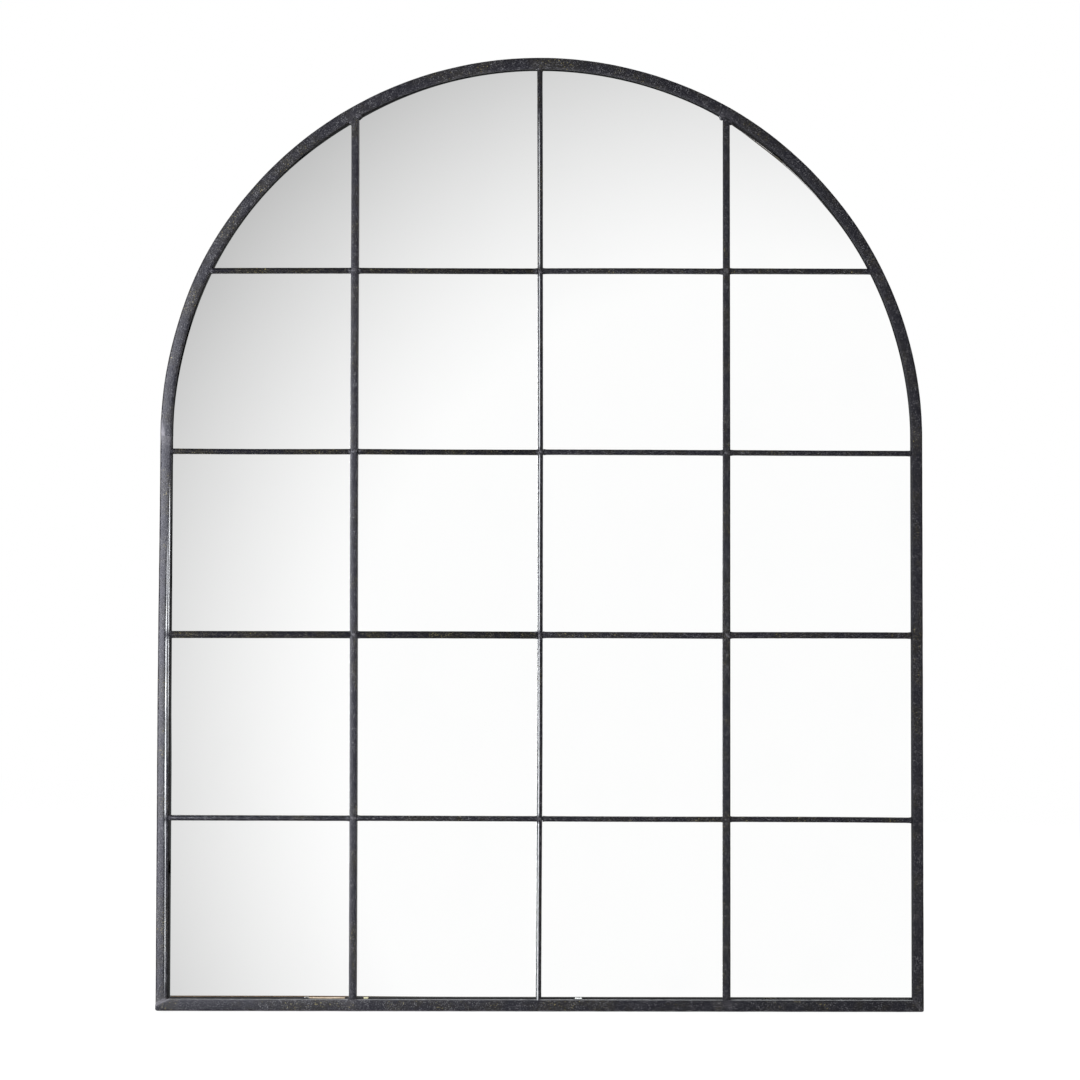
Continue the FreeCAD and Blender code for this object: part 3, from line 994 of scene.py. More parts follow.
@dataclass
class FrameTube:
    """The welded tube frame: arch, uprights and bottom rail, mitred, with dressed joints."""

    outline: Outline
    # the tube
    edge_radius: float = 1.9 * MM
    crown: float = 0.30 * MM
    skin_margin: float = 0.12 * MM
    front_step: float = 0.4 * MM
    tube_steps: tuple[float, float] = (0.5 * MM, 3.5 * MM)
    arch_steps: tuple[float, float] = (0.6 * MM, 3.5 * MM)
    unevenness: float = 0.09 * MM
    rolled_share: float = 0.6
    most_outward: float = 0.8
    # painted shade on the inner and outer walls; worn edges that fade at the right, also as painted shade
    beside_glass: Fade = Fade(-3.0 * MM, 2.0 * MM)
    over_arch: Fade = Fade(60.0 * MM, 150.0 * MM)
    to_right: Fade = Fade(0.0, 250.0 * MM)
    arch_spared: float = 0.45
    left_spared: float = 0.3
    facing_in: Fade = Fade(0.3, 0.4)
    inner_arris: Fade = Fade(0.12, 0.3)
    inner_arris_shade: float = 0.7
    outer_wall: Fade = Fade(0.80, 0.18)
    outer_wall_shade: float = 0.5
    less_worn_and_shaded: Fade = Fade(-50.0 * MM, 250.0 * MM)
    wear_and_light_loss: float = 0.6
    wear_broken: float = 0.35
    # its bottom corners
    corner_radius: float = 2.5 * MM
    seam_rise: tuple[float, float] = (6.5 * MM, 0.0)
    seam_groove: Band = Band(0.0, 0.5 * MM, 0.22 * MM)
    # the dressed band beside each seam, also a painted highlight, full at the left corner and a quarter at the
    # right
    seam_shine: Band = Band(1.0 * MM, 1.1 * MM, 1.0)
    right_seam_shine: float = 0.25
    seam_soot: Band = Band(-0.2 * MM, 0.45 * MM, 0.5)
    # the left upright's lean, top bands of ground metal and painted sheen, and painted highlight lines
    left_lean: float = 1.3 * MM
    lean_rise: Fade = Fade(0.5, 0.5)
    top_shines: tuple[Band, Band] = (Band(0.0, 9.0 * MM, 0.55), Band(0.0, 9.0 * MM, 0.12))
    top_broken: float = 0.3
    sheen_lines: tuple[SheenLine, ...] = (
        SheenLine(9.9 * MM, -0.0022, 0.42 * MM, 8.0 * MM, 500.0 * MM, 0.42),
        SheenLine(9.4 * MM, -0.0022, 0.40 * MM, 170.0 * MM, 440.0 * MM, 0.80),
        SheenLine(13.3 * MM, -0.0052, 0.36 * MM, 240.0 * MM, 560.0 * MM, 0.75),
    )
    sheen_broken: float = 0.25
    weld_gap: float = 4.6 * MM
    groove_depth: float = 0.45 * MM
    groove_offset: float = 1.5
    groove_shade: float = 0.45
    # the bottom rail, with painted shade on its left front and painted highlights on its lower and inner top
    # arrises
    rail_growth: float = 0.8 * MM
    rail_shade: float = 0.25
    rail_shade_left: Fade = Fade(0.3, -0.3)
    upper_wear_loss: float = 0.7
    facing_under: Fade = Fade(0.3, 0.3)
    facing_ahead: Fade = Fade(0.0, 0.3)
    under_shine: float = 0.8
    facing_up: Fade = Fade(0.45, 0.3)
    edge_ahead: Fade = Fade(0.05, 0.3)
    edge_light: tuple[float, float] = (0.10, 0.34)
    edge_light_broken: float = 0.2
    # the arch's feet
    foot_step: float = 1.5 * MM
    foot_blend: float = 200.0 * MM
    filler_rise: float = 0.35 * MM
    filler_width: float = 5.2 * MM
    filler_length: float = 19.0 * MM
    filler_power: float = 2.6
    filler_edge: Fade = Fade(0.0, 1.6 * MM)
    filler_shine: float = 0.95
    filler_dip: Band = Band(0.0, 0.9 * MM, 0.35 * MM)
    filler_soot: Band = Band(0.5 * MM, 0.8 * MM, 0.6)
    filler_soot_reach: float = 1.3
    right_foot_shine: Band = Band(0.0, 9.0 * MM, 0.10)
    # what was ground where the flat bars meet it
    joint_radius: float = 9.0 * MM
    joint_broken: float = 0.4
    rail_joint_rise: float = 0.75
    rail_joint_squash: float = 1.3
    rail_joint_shine: float = 0.30
    arch_joint_shine: float = 0.22

    def __post_init__(self) -> None:
        """Draw the section and the unevenness that all four tubes share."""
        depth = self.outline.back - self.outline.front - 2 * self.skin_margin
        width = self.outline.face - self.skin_margin
        self.section = rounded_section(width, depth, self.edge_radius, self.crown, front_step=self.front_step)
        self.weld_heights = [Span.of(f"row_{row}_rod_1").middle[2] for row in (1, 2, 3)]
        self.rolled = Grain(seed=11, length=34.0 * MM)
        self.beaten = Grain(seed=12, length=7.0 * MM)

    def uneven(self, points: np.ndarray, out: np.ndarray) -> Skin:
        """The skin of points moved along their outward directions by a slow and a quick unevenness."""
        height = between(self.beaten.at(points), self.rolled.at(points), self.rolled_share)
        return Skin(points + out * (self.unevenness * np.minimum(height, self.most_outward))[..., None])

    def shade_inside(self, skin: Skin, inward: np.ndarray) -> None:
        """Paint shade on the walls beside and behind the sheet, less at the left and over the arch, and on the
        right inner arrises and the outer walls.

        Args:
            skin: the tube's surface.
            inward: how squarely each point faces the opening, from -1 to 1.
        """
        x, depth, height = axes(skin.points)
        right = self.to_right.at(x)
        spared = self.arch_spared * self.over_arch.at(height - self.outline.spring) * right
        lit = 1.0 - spared - self.left_spared * (x < 0.0)
        beside = self.beside_glass.at(depth - self.outline.glass_front)
        skin.mark(Trait.SHADE_AND_DARK_EDGES, beside * lit * self.facing_in.at(inward))
        skin.mark(Trait.SHADE_AND_DARK_EDGES, self.inner_arris_shade * right * self.inner_arris.at(inward))
        skin.mark(Trait.SHADE_AND_DARK_EDGES, self.outer_wall_shade * self.outer_wall.at(-inward))

    def edge_wear(self, points: np.ndarray) -> np.ndarray:
        """Wear on the arrises, broken up by the quick unevenness; less at the right, which also paints shade on
        the side away from the lamp.
        """
        kept = 1.0 - self.wear_and_light_loss * self.less_worn_and_shaded.at(points[..., 0])
        return self.section.arris * kept * self.beaten.broken(points, self.wear_broken)

    def round_corners(self, points: np.ndarray) -> np.ndarray:
        """Pull what lies outside the bottom corners' quarter circles in onto them.

        Args:
            points: the points.

        Returns:
            The points, with rounded corners.
        """
        half, radius = self.outline.half_width, self.corner_radius
        inward = np.stack([half - np.abs(points[..., 0]), points[..., 2]], -1)
        arm = inward - radius
        reach = np.linalg.norm(arm, axis=-1, keepdims=True)
        outside = (inward < radius).all(-1, keepdims=True) & (reach > radius)
        inward = np.where(outside, radius + arm * (radius / np.maximum(reach, TINY)), inward)
        rounded = points.copy()
        rounded[..., 0] = np.sign(points[..., 0]) * (half - inward[..., 0])
        rounded[..., 2] = inward[..., 1]
        return rounded

    def seam_slope(self, side: Number) -> tuple[Number, Number]:
        """How high the corner seam starts at the outer face, and how much it climbs per unit inwards."""
        rise = np.where(np.asarray(side) < 0, *self.seam_rise)
        return rise, (self.outline.face - rise) / self.outline.face

    def mitred(self, skin: Skin, out: np.ndarray, off_seam: np.ndarray, left: Number) -> None:
        """Grind the joint at a corner: a shallow groove on the seam, black in it, and beside it a dressed band
        that is also a painted highlight.

        Args:
            skin: the tube's surface.
            out: its outward directions.
            off_seam: each point's distance from the seam.
            left: 1 at the left corner, where the band's painted highlight is bright, and 0 at the right one.
        """
        skin.points -= out * self.seam_groove.at(off_seam)[..., None]
        skin.mark(Trait.DRESSED_AND_SHEEN, between(self.right_seam_shine, 1.0, left) * self.seam_shine.at(off_seam))
        skin.mark(Trait.SHADE_AND_DARK_EDGES, self.seam_soot.at(off_seam))

    def upright(self, side: int) -> Skin:
        """One upright: the section carried up, its foot cut along the corner's seam.

        Height = start + share * (spring line - start), where start is the seam's height at each point.

        Args:
            side: -1 left, 1 right.

        Returns:
            The skin.
        """
        o = self.outline
        share = stations(o.spring, *self.tube_steps)
        path = np.tile([side * (o.half_width - o.face / 2), o.middle, 0.0], (len(share), 1))
        points, out = carry(path, X_AXIS, self.section)
        rise, slope = self.seam_slope(side)
        start = rise + slope * (o.half_width - np.abs(points[..., 0]))
        points[..., 2] = between(start, o.spring, share[:, None])
        height = points[..., 2]
        skin = self.uneven(points, out)
        skin.mark(Trait.WORN, self.edge_wear(points))
        self.mitred(skin, out, (height - start) / np.hypot(1.0, slope), float(side < 0))
        skin.points = self.round_corners(skin.points)
        self.shade_inside(skin, -side * out[..., 0])
        if side < 0:
            self.sheen(skin, points, out)
            skin.points[..., 0] += self.left_lean * self.lean_rise.at(height / o.spring)
        # a band at the upright's top, ground metal and painted sheen, stronger on the left upright
        shine = self.top_shines[side > 0].at(o.spring - height)
        return skin.mark(Trait.DRESSED_AND_SHEEN, shine * self.beaten.broken(points, self.top_broken))

    def sheen(self, skin: Skin, points: np.ndarray, out: np.ndarray) -> None:
        """Paint highlight lines down the left upright's front, each with a dented groove just outside it that is
        darkened with painted shade.

        The painted highlights stop where the rods are welded on.

        Args:
            skin: the upright.
            points: its points before the unevenness.
            out: its outward directions.
        """
        x, _, height = axes(points)
        from_outside, facing = self.outline.half_width - np.abs(x), facing_front(out)
        broken = self.rolled.broken(points, self.sheen_broken)
        for place in self.weld_heights:
            broken = broken * (1.0 - hump(height - place, self.weld_gap))
        for line in self.sheen_lines:
            skin.mark(Trait.PAINTED_HIGHLIGHT, line.strength * facing * broken * line.share(from_outside, height))
            groove = line.share(from_outside + self.groove_offset * line.width, height) * facing
            skin.points -= out * (self.groove_depth * groove)[..., None]
            skin.mark(Trait.SHADE_AND_DARK_EDGES, self.groove_shade * groove)

    def ground(self, points: np.ndarray, out: np.ndarray, away: np.ndarray) -> np.ndarray:
        """How much the front is dressed round a joint: a bell over the distance, broken up.

        Args:
            points: the tube's points before the unevenness.
            out: its outward directions.
            away: each point's distance from the joint.

        Returns:
            The amount, from 0 to about 1.
        """
        near = hump(away, self.joint_radius) * facing_front(out)
        return near * self.beaten.broken(points, self.joint_broken)

    def bottom(self, bar_places: Sequence[float]) -> Skin:
        """The bottom rail, cut along both corners' seams, with soft ground blobs where the flat bars stand.

        Place across runs by the share of its length between the two seams' places at each point's height. A
        seam's place from the outer face is (height - rise) / slope, and 0 below its rise.

        Args:
            bar_places: where the flat bars stand, across.

        Returns:
            The skin.
        """
        o = self.outline
        share = stations(2 * o.half_width, *self.tube_steps)
        path = np.tile([0.0, o.middle, o.face / 2], (len(share), 1))
        points, out = carry(path, Z_AXIS, self.section)
        share, height = share[:, None], points[..., 2].copy()
        ends = []
        for side in (-1, 1):
            rise, slope = self.seam_slope(side)
            ends.append(side * (o.half_width - np.maximum(height - rise, 0.0) / slope))
        points[..., 0] = between(*ends, share)
        x = points[..., 0]
        rise, slope = self.seam_slope(np.sign(x))
        off_seam = np.abs(rise + slope * (o.half_width - np.abs(x)) - height) / np.hypot(1.0, slope)
        points[..., 2] += self.rail_growth * ease(height / o.face)
        skin = self.uneven(points, out)
        # painted shade on the front of the rail's left part
        skin.mark(Trait.SHADE_AND_DARK_EDGES, self.rail_shade * self.rail_shade_left.at(share) * (out[..., 1] < 0.0))
        upper = (height > 0.5 * o.face) * (1.0 - share)
        skin.mark(Trait.WORN, self.edge_wear(points) * (1.0 - self.upper_wear_loss * upper))
        # painted highlight on the lower arris, for the floor's light reflected there
        under = self.facing_under.at(-out[..., 2]) * self.facing_ahead.at(-out[..., 1])
        skin.mark(Trait.DRESSED_AND_SHEEN, self.under_shine * under * self.beaten.broken(points, self.joint_broken))
        self.mitred(skin, out, off_seam, (x < 0.0).astype(float))
        skin.points = self.round_corners(skin.points)
        self.shade_inside(skin, out[..., 2])
        # painted highlight along the inner top arris, brighter towards the right
        upward = self.facing_up.at(out[..., 2]) * self.edge_ahead.at(-out[..., 1])
        light = between(*self.edge_light, share) * self.beaten.broken(points, self.edge_light_broken)
        skin.mark(Trait.PAINTED_HIGHLIGHT, light * upward)
        above = self.rail_joint_squash * (points[..., 2] - self.rail_joint_rise * o.face)
        for place in bar_places:
            near = self.ground(points, out, np.hypot(x - place, above))
            skin.mark(Trait.DRESSED_AND_SHEEN, self.rail_joint_shine * near)
        return skin

    def arch(self, bar_places: Sequence[float]) -> Skin:
        """The arch: the section carried round a half circle, its left foot a little inboard of the upright.

        The radius is the circle's, less a step that eases in over the last stretch before the left foot.
        Filler lies on the foot, up to an edge that falls off as a power of the distance inwards.

        Args:
            bar_places: where the flat bars meet it, across.

        Returns:
            The skin.
        """
        o = self.outline
        radius = o.half_width - o.face / 2
        share = stations(math.pi * radius, *self.arch_steps)
        angle = math.pi * (1.0 - share)
        ray = np.stack([np.cos(angle), np.zeros_like(angle), np.sin(angle)], -1)
        from_left = share * math.pi * radius
        stepped = Fade(self.foot_blend, -0.5 * self.foot_blend).at(from_left)
        path = np.array([0.0, o.middle, o.spring]) + ray * (radius - self.foot_step * stepped)[:, None]
        points, out = carry(path, ray, self.section)
        from_outside, from_left = o.face / 2 - self.section.points[None, :, 0], from_left[:, None]
        skin = self.uneven(points, out)
        skin.mark(Trait.WORN, self.edge_wear(points))
        self.shade_inside(skin, -np.einsum("ijk,ik->ij", out, ray))
        across = from_outside / self.filler_width
        past_edge = from_left - self.filler_length * (1.0 - np.clip(across, 0.0, 1.0) ** self.filler_power)
        filled = self.filler_edge.at(-past_edge) * (across < 1.0)
        skin.mark(Trait.DRESSED_AND_SHEEN, self.filler_shine * filled)
        skin.points += ray[:, None, :] * (self.filler_rise * filled * (1.0 - ease(across)))[..., None]
        skin.points[..., 1] += self.filler_dip.at(past_edge) * facing_front(out)
        skin.mark(Trait.SHADE_AND_DARK_EDGES, self.filler_soot.at(past_edge) * (across < self.filler_soot_reach))
        skin.mark(Trait.DRESSED_AND_SHEEN, self.right_foot_shine.at(math.pi * radius - from_left))
        for place in bar_places:
            away = np.hypot(points[..., 0] - place, points[..., 2] - o.crown_at(place))
            skin.mark(Trait.DRESSED_AND_SHEEN, self.arch_joint_shine * self.ground(points, out, away))
        return skin

    def build(self, bar_places: Sequence[float]) -> None:
        """Make the four tubes.

        Args:
            bar_places: where the flat bars meet them, across.
        """
        for name, skin, node in (
            ("Arch_tube", self.arch(bar_places), "arch_tube"),
            ("Upright_left", self.upright(-1), "left_upright"),
            ("Upright_right", self.upright(1), "right_upright"),
            ("Bottom_rail", self.bottom(bar_places), "bottom_tube"),
        ):
            make_piece(name, [skin], [IRON], IRON_SLOT, node)


# ---------------------------------------------------------------- window grid


class Toward(Enum):
    """Which way along X a weld faces from the member that it sits on."""

    LEFT = -1
    RIGHT = 1


@dataclass
class WindowGrid:
    """Flat bars, centre rod and rows of short rods, with a bead of weld at every joint."""

    outline: Outline
    rows: int = 4
    columns: int = 4
    sink: float = 0.35 * MM
    unevenness: float = 0.07 * MM
    # flat bars
    bar_edge: float = 0.7 * MM
    bar_crown: float = 0.34 * MM
    bar_arc_steps: int = 4
    bar_steps: tuple[float, float] = (1.0 * MM, 4.0 * MM)
    bar_wear: float = 0.35
    bar_end_shade: Band = Band(0.0, 2.5 * MM, 0.35)
    right_spread: float = 0.9 * MM
    left_bows: tuple[Band, ...] = (Band(0.93, 0.38, -0.8 * MM), Band(1.5, 0.25, 0.56 * MM))
    # rods
    rod_points: int = 24
    rod_steps: tuple[float, float] = (0.8 * MM, 3.0 * MM)
    rod_bow: float = 0.22 * MM
    rod_rolled: float = 0.4
    rod_end_shade: Band = Band(0.0, 4.0 * MM, 0.3)
    out_of_line: float = 0.30 * MM
    row_lines: tuple[tuple[float, float], ...] = (
        (-0.20 * MM, -0.0018),
        (0.10 * MM, 0.0),
        (0.50 * MM, -0.0020),
        (0.25 * MM, -0.0012),
    )
    stout_row: int = 1
    stout: tuple[float, ...] = (1.18, 1.18, 1.06, 1.06)
    shaded_rows: tuple[int, ...] = (1, 2, 3)
    # the centre rod's drift to the left and its painted highlight stripe
    drift_foot: float = -1.45 * MM
    drift_body: float = -0.6 * MM
    drift_reach: float = 300.0 * MM
    stripe_angle: float = math.radians(11.0)
    stripe_width: float = math.radians(7.0)
    stripe_low: float = 500.0 * MM
    stripe_turn: float = 0.6
    stripe_spread: float = 0.8
    stripe_strength: float = 0.70
    stripe_broken: float = 0.15
    stripe_off_row: Fade = Fade(3.0 * MM, 3.0 * MM)
    stripe_end: Fade = Fade(950.0 * MM, -40.0 * MM)
    # welds
    bead_steps: int = 12
    bead_points: int = 22
    bead_length: float = 4.6 * MM
    bead_build: float = 0.45 * MM
    bead_power: float = 2.2
    bead_lump: float = 0.45
    bead_inside: float = 0.985
    bead_wear: tuple[float, float] = (0.35, 0.5)
    bead_shade: Band = Band(0.0, 0.16, 0.75)
    blob_rings: int = 16
    blob_points: int = 26
    blob_pole: float = 0.04
    blob_lump: float = 0.13
    blob_shine: tuple[float, float] = (0.22, 0.25)
    blob_shade: float = 0.8
    blob_behind: Fade = Fade(-0.35, 0.4)
    blob_sizes: Triple = (3.7 * MM, 3.15 * MM, 3.9 * MM)
    dome: Triple = (1.08, 2.0 * MM, 3.5 * MM)
    dome_depth: float = 1.6 * MM
    dome_lean: float = 4.0
    head_web: Triple = (3.4 * MM, 2.7 * MM, 3.2 * MM)
    head_seat: tuple[float, float] = (0.4 * MM, 1.5 * MM)
    lesser_web: float = 0.75
    foot_bead: Triple = (1.5 * MM, 2.2 * MM, 1.3 * MM)
    foot_seat: float = 0.2 * MM
    web_depth: float = 1.0 * MM
    centre_blob: Triple = (3.4 * MM, 3.0 * MM, 2.4 * MM)
    front_limit: float = 0.12 * MM
    bead_limit: float = 0.10 * MM
    web_limits: tuple[float, float] = (0.05 * MM, 0.1 * MM)
    flat_lump: float = 0.06 * MM

    def __post_init__(self) -> None:
        """Draw the unevenness, and how far each short rod lies out of line."""
        self.rolled = Grain(seed=21, length=60.0 * MM)
        self.beaten = Grain(seed=22, length=4.5 * MM)
        self.lumps = Grain(seed=23, length=3.2 * MM)
        rng = np.random.default_rng(24)
        self.lines = rng.uniform(-1.0, 1.0, (self.rows, self.columns, 2)) * self.out_of_line
        self.bead_sizes = rng.uniform(0.75, 1.2, (self.rows, self.columns, 2))
        self.bars = [Span.of("left_flat_bar"), Span.of("right_flat_bar")]

    def uneven(self, points: np.ndarray, out: np.ndarray, rolled: float) -> Skin:
        """The skin of points moved along their outward directions by the unevenness, mostly inwards.

        Args:
            points: the points.
            out: their outward directions.
            rolled: the slow unevenness's share, which is also what is taken off the height.

        Returns:
            The skin.
        """
        height = between(self.beaten.at(points), self.rolled.at(points), rolled) - rolled
        return Skin(points + out * (self.unevenness * height)[..., None])

    def bar(self, span: Span) -> Skin:
        """A flat bar: a rounded section carried up from the bottom rail to the arch's inner face.

        Height = foot + share * (top - foot), where top follows the arch. The right bar's left side spreads
        and the left bar bows, each by bells or eases of the height.

        Args:
            span: its node's box.

        Returns:
            The skin.
        """
        o = self.outline
        width, depth, height = span.size
        section = rounded_section(width, depth, self.bar_edge, self.bar_crown, self.bar_arc_steps)
        share = stations(height, *self.bar_steps)[:, None]
        path = np.tile([*span.middle[:2], 0.0], (len(share), 1))
        points, out = carry(path, X_AXIS, section)
        x, foot, top = points[..., 0], span.low[2], o.crown_at(points[..., 0]) + self.sink
        height = between(foot - self.sink, top, share)
        points[..., 2] = height
        skin = self.uneven(points, out, 0.5)
        skin.mark(Trait.WORN, self.bar_wear * section.arris * self.beaten.broken(points, 0.5))
        if span.middle[0] > 0.0:
            on_left = ease((span.middle[0] - x) / width + 0.5)
            skin.points[..., 0] -= self.right_spread * on_left * (1.0 - ease(height / o.spring - 0.5))
        else:
            skin.points[..., 0] += sum(bow.at(height / o.spring) for bow in self.left_bows)
        # painted shade at both ends of the bar, where it meets the arch and the rail
        return skin.mark(Trait.SHADE_AND_DARK_EDGES, self.bar_end_shade.at(np.minimum(height - foot, top - height)))

    def rod(self, start: np.ndarray, end: np.ndarray, radius: float) -> Skin:
        """A round rod between two points, a little bowed and uneven.

        It bows in its own upright plane by a sine of the share of its length.

        Args:
            start: one end.
            end: the other end.
            radius: its radius.

        Returns:
            The skin.
        """
        run = end - start
        length = float(np.linalg.norm(run))
        share = stations(length, *self.rod_steps)[:, None]
        side = np.cross(run / length, Y_AXIS)
        bow = self.rod_bow * float(self.rolled.at((start + end) / 2)) * np.sin(math.pi * share)
        points, out = carry(start + share * run + bow * side, side, round_section(radius, self.rod_points))
        skin = self.uneven(points, out, self.rod_rolled)
        # painted shade near both ends, where the rod meets its members
        return skin.mark(Trait.SHADE_AND_DARK_EDGES, self.rod_end_shade.at(np.minimum(share, 1.0 - share) * length))

    def stripe(self, skin: Skin, depth: float) -> Skin:
        """Paint a highlight along a line left of the centre rod's front, broken at each row and near its head.

        The line is a bell over the angle round the rod, which drifts left and widens towards the foot.

        Args:
            skin: the rod.
            depth: the depth of its middle.

        Returns:
            The skin.
        """
        x, y, z = axes(skin.points)
        low = np.clip(1.0 - z / self.stripe_low, 0.0, 1.0)
        turned = np.arctan2(-x, depth - y) - self.stripe_angle * (1.0 + self.stripe_turn * low)
        line = hump(turned, self.stripe_width * (1.0 + self.stripe_spread * low**2))
        heights = np.array([self.rod_ends(row, 1)[1][2] for row in range(self.rows)])
        off_row = np.abs(z[..., None] - heights).min(-1)
        whole = self.stripe_off_row.at(off_row) * self.stripe_end.at(z)
        strength = self.stripe_strength * self.beaten.broken(skin.points, self.stripe_broken)
        skin.mark(Trait.PAINTED_HIGHLIGHT, strength * line * whole)
        skin.points[..., 0] += self.drift(z)
        return skin

    def drift(self, height: Number) -> Number:
        """The centre rod's place across: furthest left at its foot, and in the middle at its head."""
        moved = between(self.drift_foot, self.drift_body, ease(height / self.drift_reach))
        return moved * (1.0 - ease(height / self.drift_reach - 2.0))

    def rod_ends(self, row: int, column: int) -> tuple[np.ndarray, np.ndarray, float]:
        """Where a short rod lies, with its ends out of line.

        Args:
            row: its row, from the bottom.
            column: its column, from the left.

        Returns:
            Both ends and its radius.
        """
        span = Span.of(f"row_{row + 1}_rod_{column + 1}")
        lift, slope = self.row_lines[row]
        places = np.array([span.low[0], span.high[0]])
        ends = np.tile(span.middle, (2, 1))
        ends[:, 0] = places
        ends[:, 2] += self.lines[row, column] + lift + slope * places
        stout = self.stout[column] if row == self.stout_row else 1.0
        return *ends, stout * span.size[2] / 2

    def collar(self, seat: np.ndarray, toward: Toward, radius: float, size: float) -> Skin:
        """A bead of weld round a rod's end: a collar that thins away along the rod.

        Its radius is the rod's plus build * (1 - s)^power, s being the share of its length, and it is closed
        over the rod at both ends. Lumps move it in and out.

        Args:
            seat: where the rod meets the member.
            toward: the way that the rod leaves.
            radius: the rod's radius.
            size: this bead's size against the usual one.

        Returns:
            The skin.
        """
        share = np.linspace(0.0, 1.0, self.bead_steps)[:, None]
        build = self.bead_build * size * (1.0 - share) ** self.bead_power
        path = seat + share * self.bead_length * size * toward.value * X_AXIS
        points, out = carry(path, Z_AXIS, round_section(1.0, self.bead_points))
        reach = radius * self.bead_inside + build * (1.0 + self.bead_lump * self.lumps.at(points))
        points = path[:, None, :] + out * reach[..., None]
        points[..., 1] = np.maximum(points[..., 1], self.outline.front + self.bead_limit)
        wear, wear_lump = self.bead_wear
        skin = Skin(points).mark(Trait.WORN, wear + wear_lump * self.lumps.at(points))
        # painted shade on the bead, most at its seat
        return skin.mark(Trait.SHADE_AND_DARK_EDGES, self.bead_shade.at(share))

    def blob(self, seat: Sequence[float], sizes: Sequence[float], front_limit: float) -> Skin:
        """A lump of weld dressed over a joint: an ellipsoid with lumps, flattened where it meets the front.

        Point = seat + sizes * (sin p cos q, -cos p, sin p sin q), times one plus the lumps.

        Args:
            seat: its middle.
            sizes: half its size along X, Y and Z.
            front_limit: the least depth that it may reach.

        Returns:
            The skin.
        """
        polar = np.linspace(self.blob_pole, math.pi - self.blob_pole, self.blob_rings)[:, None]
        turn = np.arange(self.blob_points) * (2 * math.pi / self.blob_points)
        unit = (np.sin(polar) * np.cos(turn), -np.cos(polar), np.sin(polar) * np.sin(turn))
        unit = np.stack(np.broadcast_arrays(*unit), -1)
        swell = 1.0 + self.blob_lump * self.lumps.at(seat + unit * sizes)
        points = seat + unit * sizes * swell[..., None]
        points[..., 1] = np.maximum(points[..., 1], front_limit + self.flat_lump * self.lumps.at(points))
        shine, shine_lump = self.blob_shine
        skin = Skin(points).mark(Trait.DRESSED_AND_SHEEN, shine + shine_lump * self.lumps.at(points))
        # painted shade on the back of the blob, towards the mirror
        return skin.mark(Trait.SHADE_AND_DARK_EDGES, self.blob_shade * self.blob_behind.at(unit[..., 1]))

    def row_welds(self, row: int) -> list[Skin]:
        """Every bead of a row: a collar at each rod end, and a blob over each upright member.

        Args:
            row: the row, from the bottom.

        Returns:
            The skins.
        """
        skins = []
        limit = self.outline.front + self.front_limit
        for column in range(self.columns):
            start, end, radius = self.rod_ends(row, column)
            sizes = self.bead_sizes[row, column]
            skins.append(self.collar(start, Toward.RIGHT, radius, sizes[0]))
            skins.append(self.collar(end, Toward.LEFT, radius, sizes[1]))
            if column == 1:
                skins.append(self.blob((self.drift(end[2]), end[1], end[2]), self.blob_sizes, limit))
            if column in (0, 2):
                bar = self.bars[column // 2]
                x = bar.middle[0] + self.lines[row, column, 0] * self.dome_lean
                spread, depth, height = self.dome
                dome = (bar.size[0] / 2 * spread * sizes[0], depth, height * sizes[1])
                skins.append(self.blob((x, bar.low[1] + self.dome_depth, end[2]), dome, limit))
        return skins

    def bar_welds(self) -> list[Skin]:
        """Webs in the corners at both flat bars' heads, the larger one uphill, and small beads at their feet.

        Returns:
            The skins.
        """
        skins = []
        head_out, reach_out = self.head_seat
        for bar in self.bars:
            depth, front = bar.middle[1] - self.web_depth, bar.low[1]
            uphill = -np.sign(bar.low[0])
            for x, side in ((bar.low[0], -1), (bar.high[0], 1)):
                grown = 1.0 if side == uphill else self.lesser_web
                head = (x + side * head_out, depth, self.outline.crown_at(x + side * reach_out))
                skins.append(self.blob(head, grown * np.array(self.head_web), front + self.web_limits[0]))
                foot = (x + side * self.foot_seat, depth, self.outline.face)
                skins.append(self.blob(foot, self.foot_bead, front + self.web_limits[1]))
        return skins

    def centre_welds(self, span: Span) -> list[Skin]:
        """The blobs at the centre rod's foot and head.

        Args:
            span: the rod's box.

        Returns:
            The skins.
        """
        depth, limit = span.middle[1], span.low[1] - self.bead_limit
        ends = (span.low[2], span.high[2])
        return [self.blob((self.drift(z), depth, z), self.centre_blob, limit) for z in ends]

    def bar_places(self) -> list[float]:
        """Where the flat bars' middles are, across."""
        return [bar.middle[0] for bar in self.bars]

    def build(self) -> None:
        """Make the bars, the rods and their welds."""
        for side, bar in zip(("left", "right"), self.bars):
            make_piece(f"Flat_bar_{side}", [self.bar(bar)], [IRON], IRON_SLOT, f"{side}_flat_bar")
        centre = Span.of("centre_rod")
        depth = centre.middle[1]
        foot = np.array([0.0, depth, centre.low[2] - self.sink])
        head = np.array([0.0, depth, centre.high[2] + self.sink])
        rod = self.stripe(self.rod(foot, head, centre.high[0]), depth)
        make_piece("Centre_rod", [rod], [DRAWN_IRON], IRON_SLOT, "centre_rod")
        for row in range(self.rows):
            for column in range(self.columns):
                rod = self.rod(*self.rod_ends(row, column))
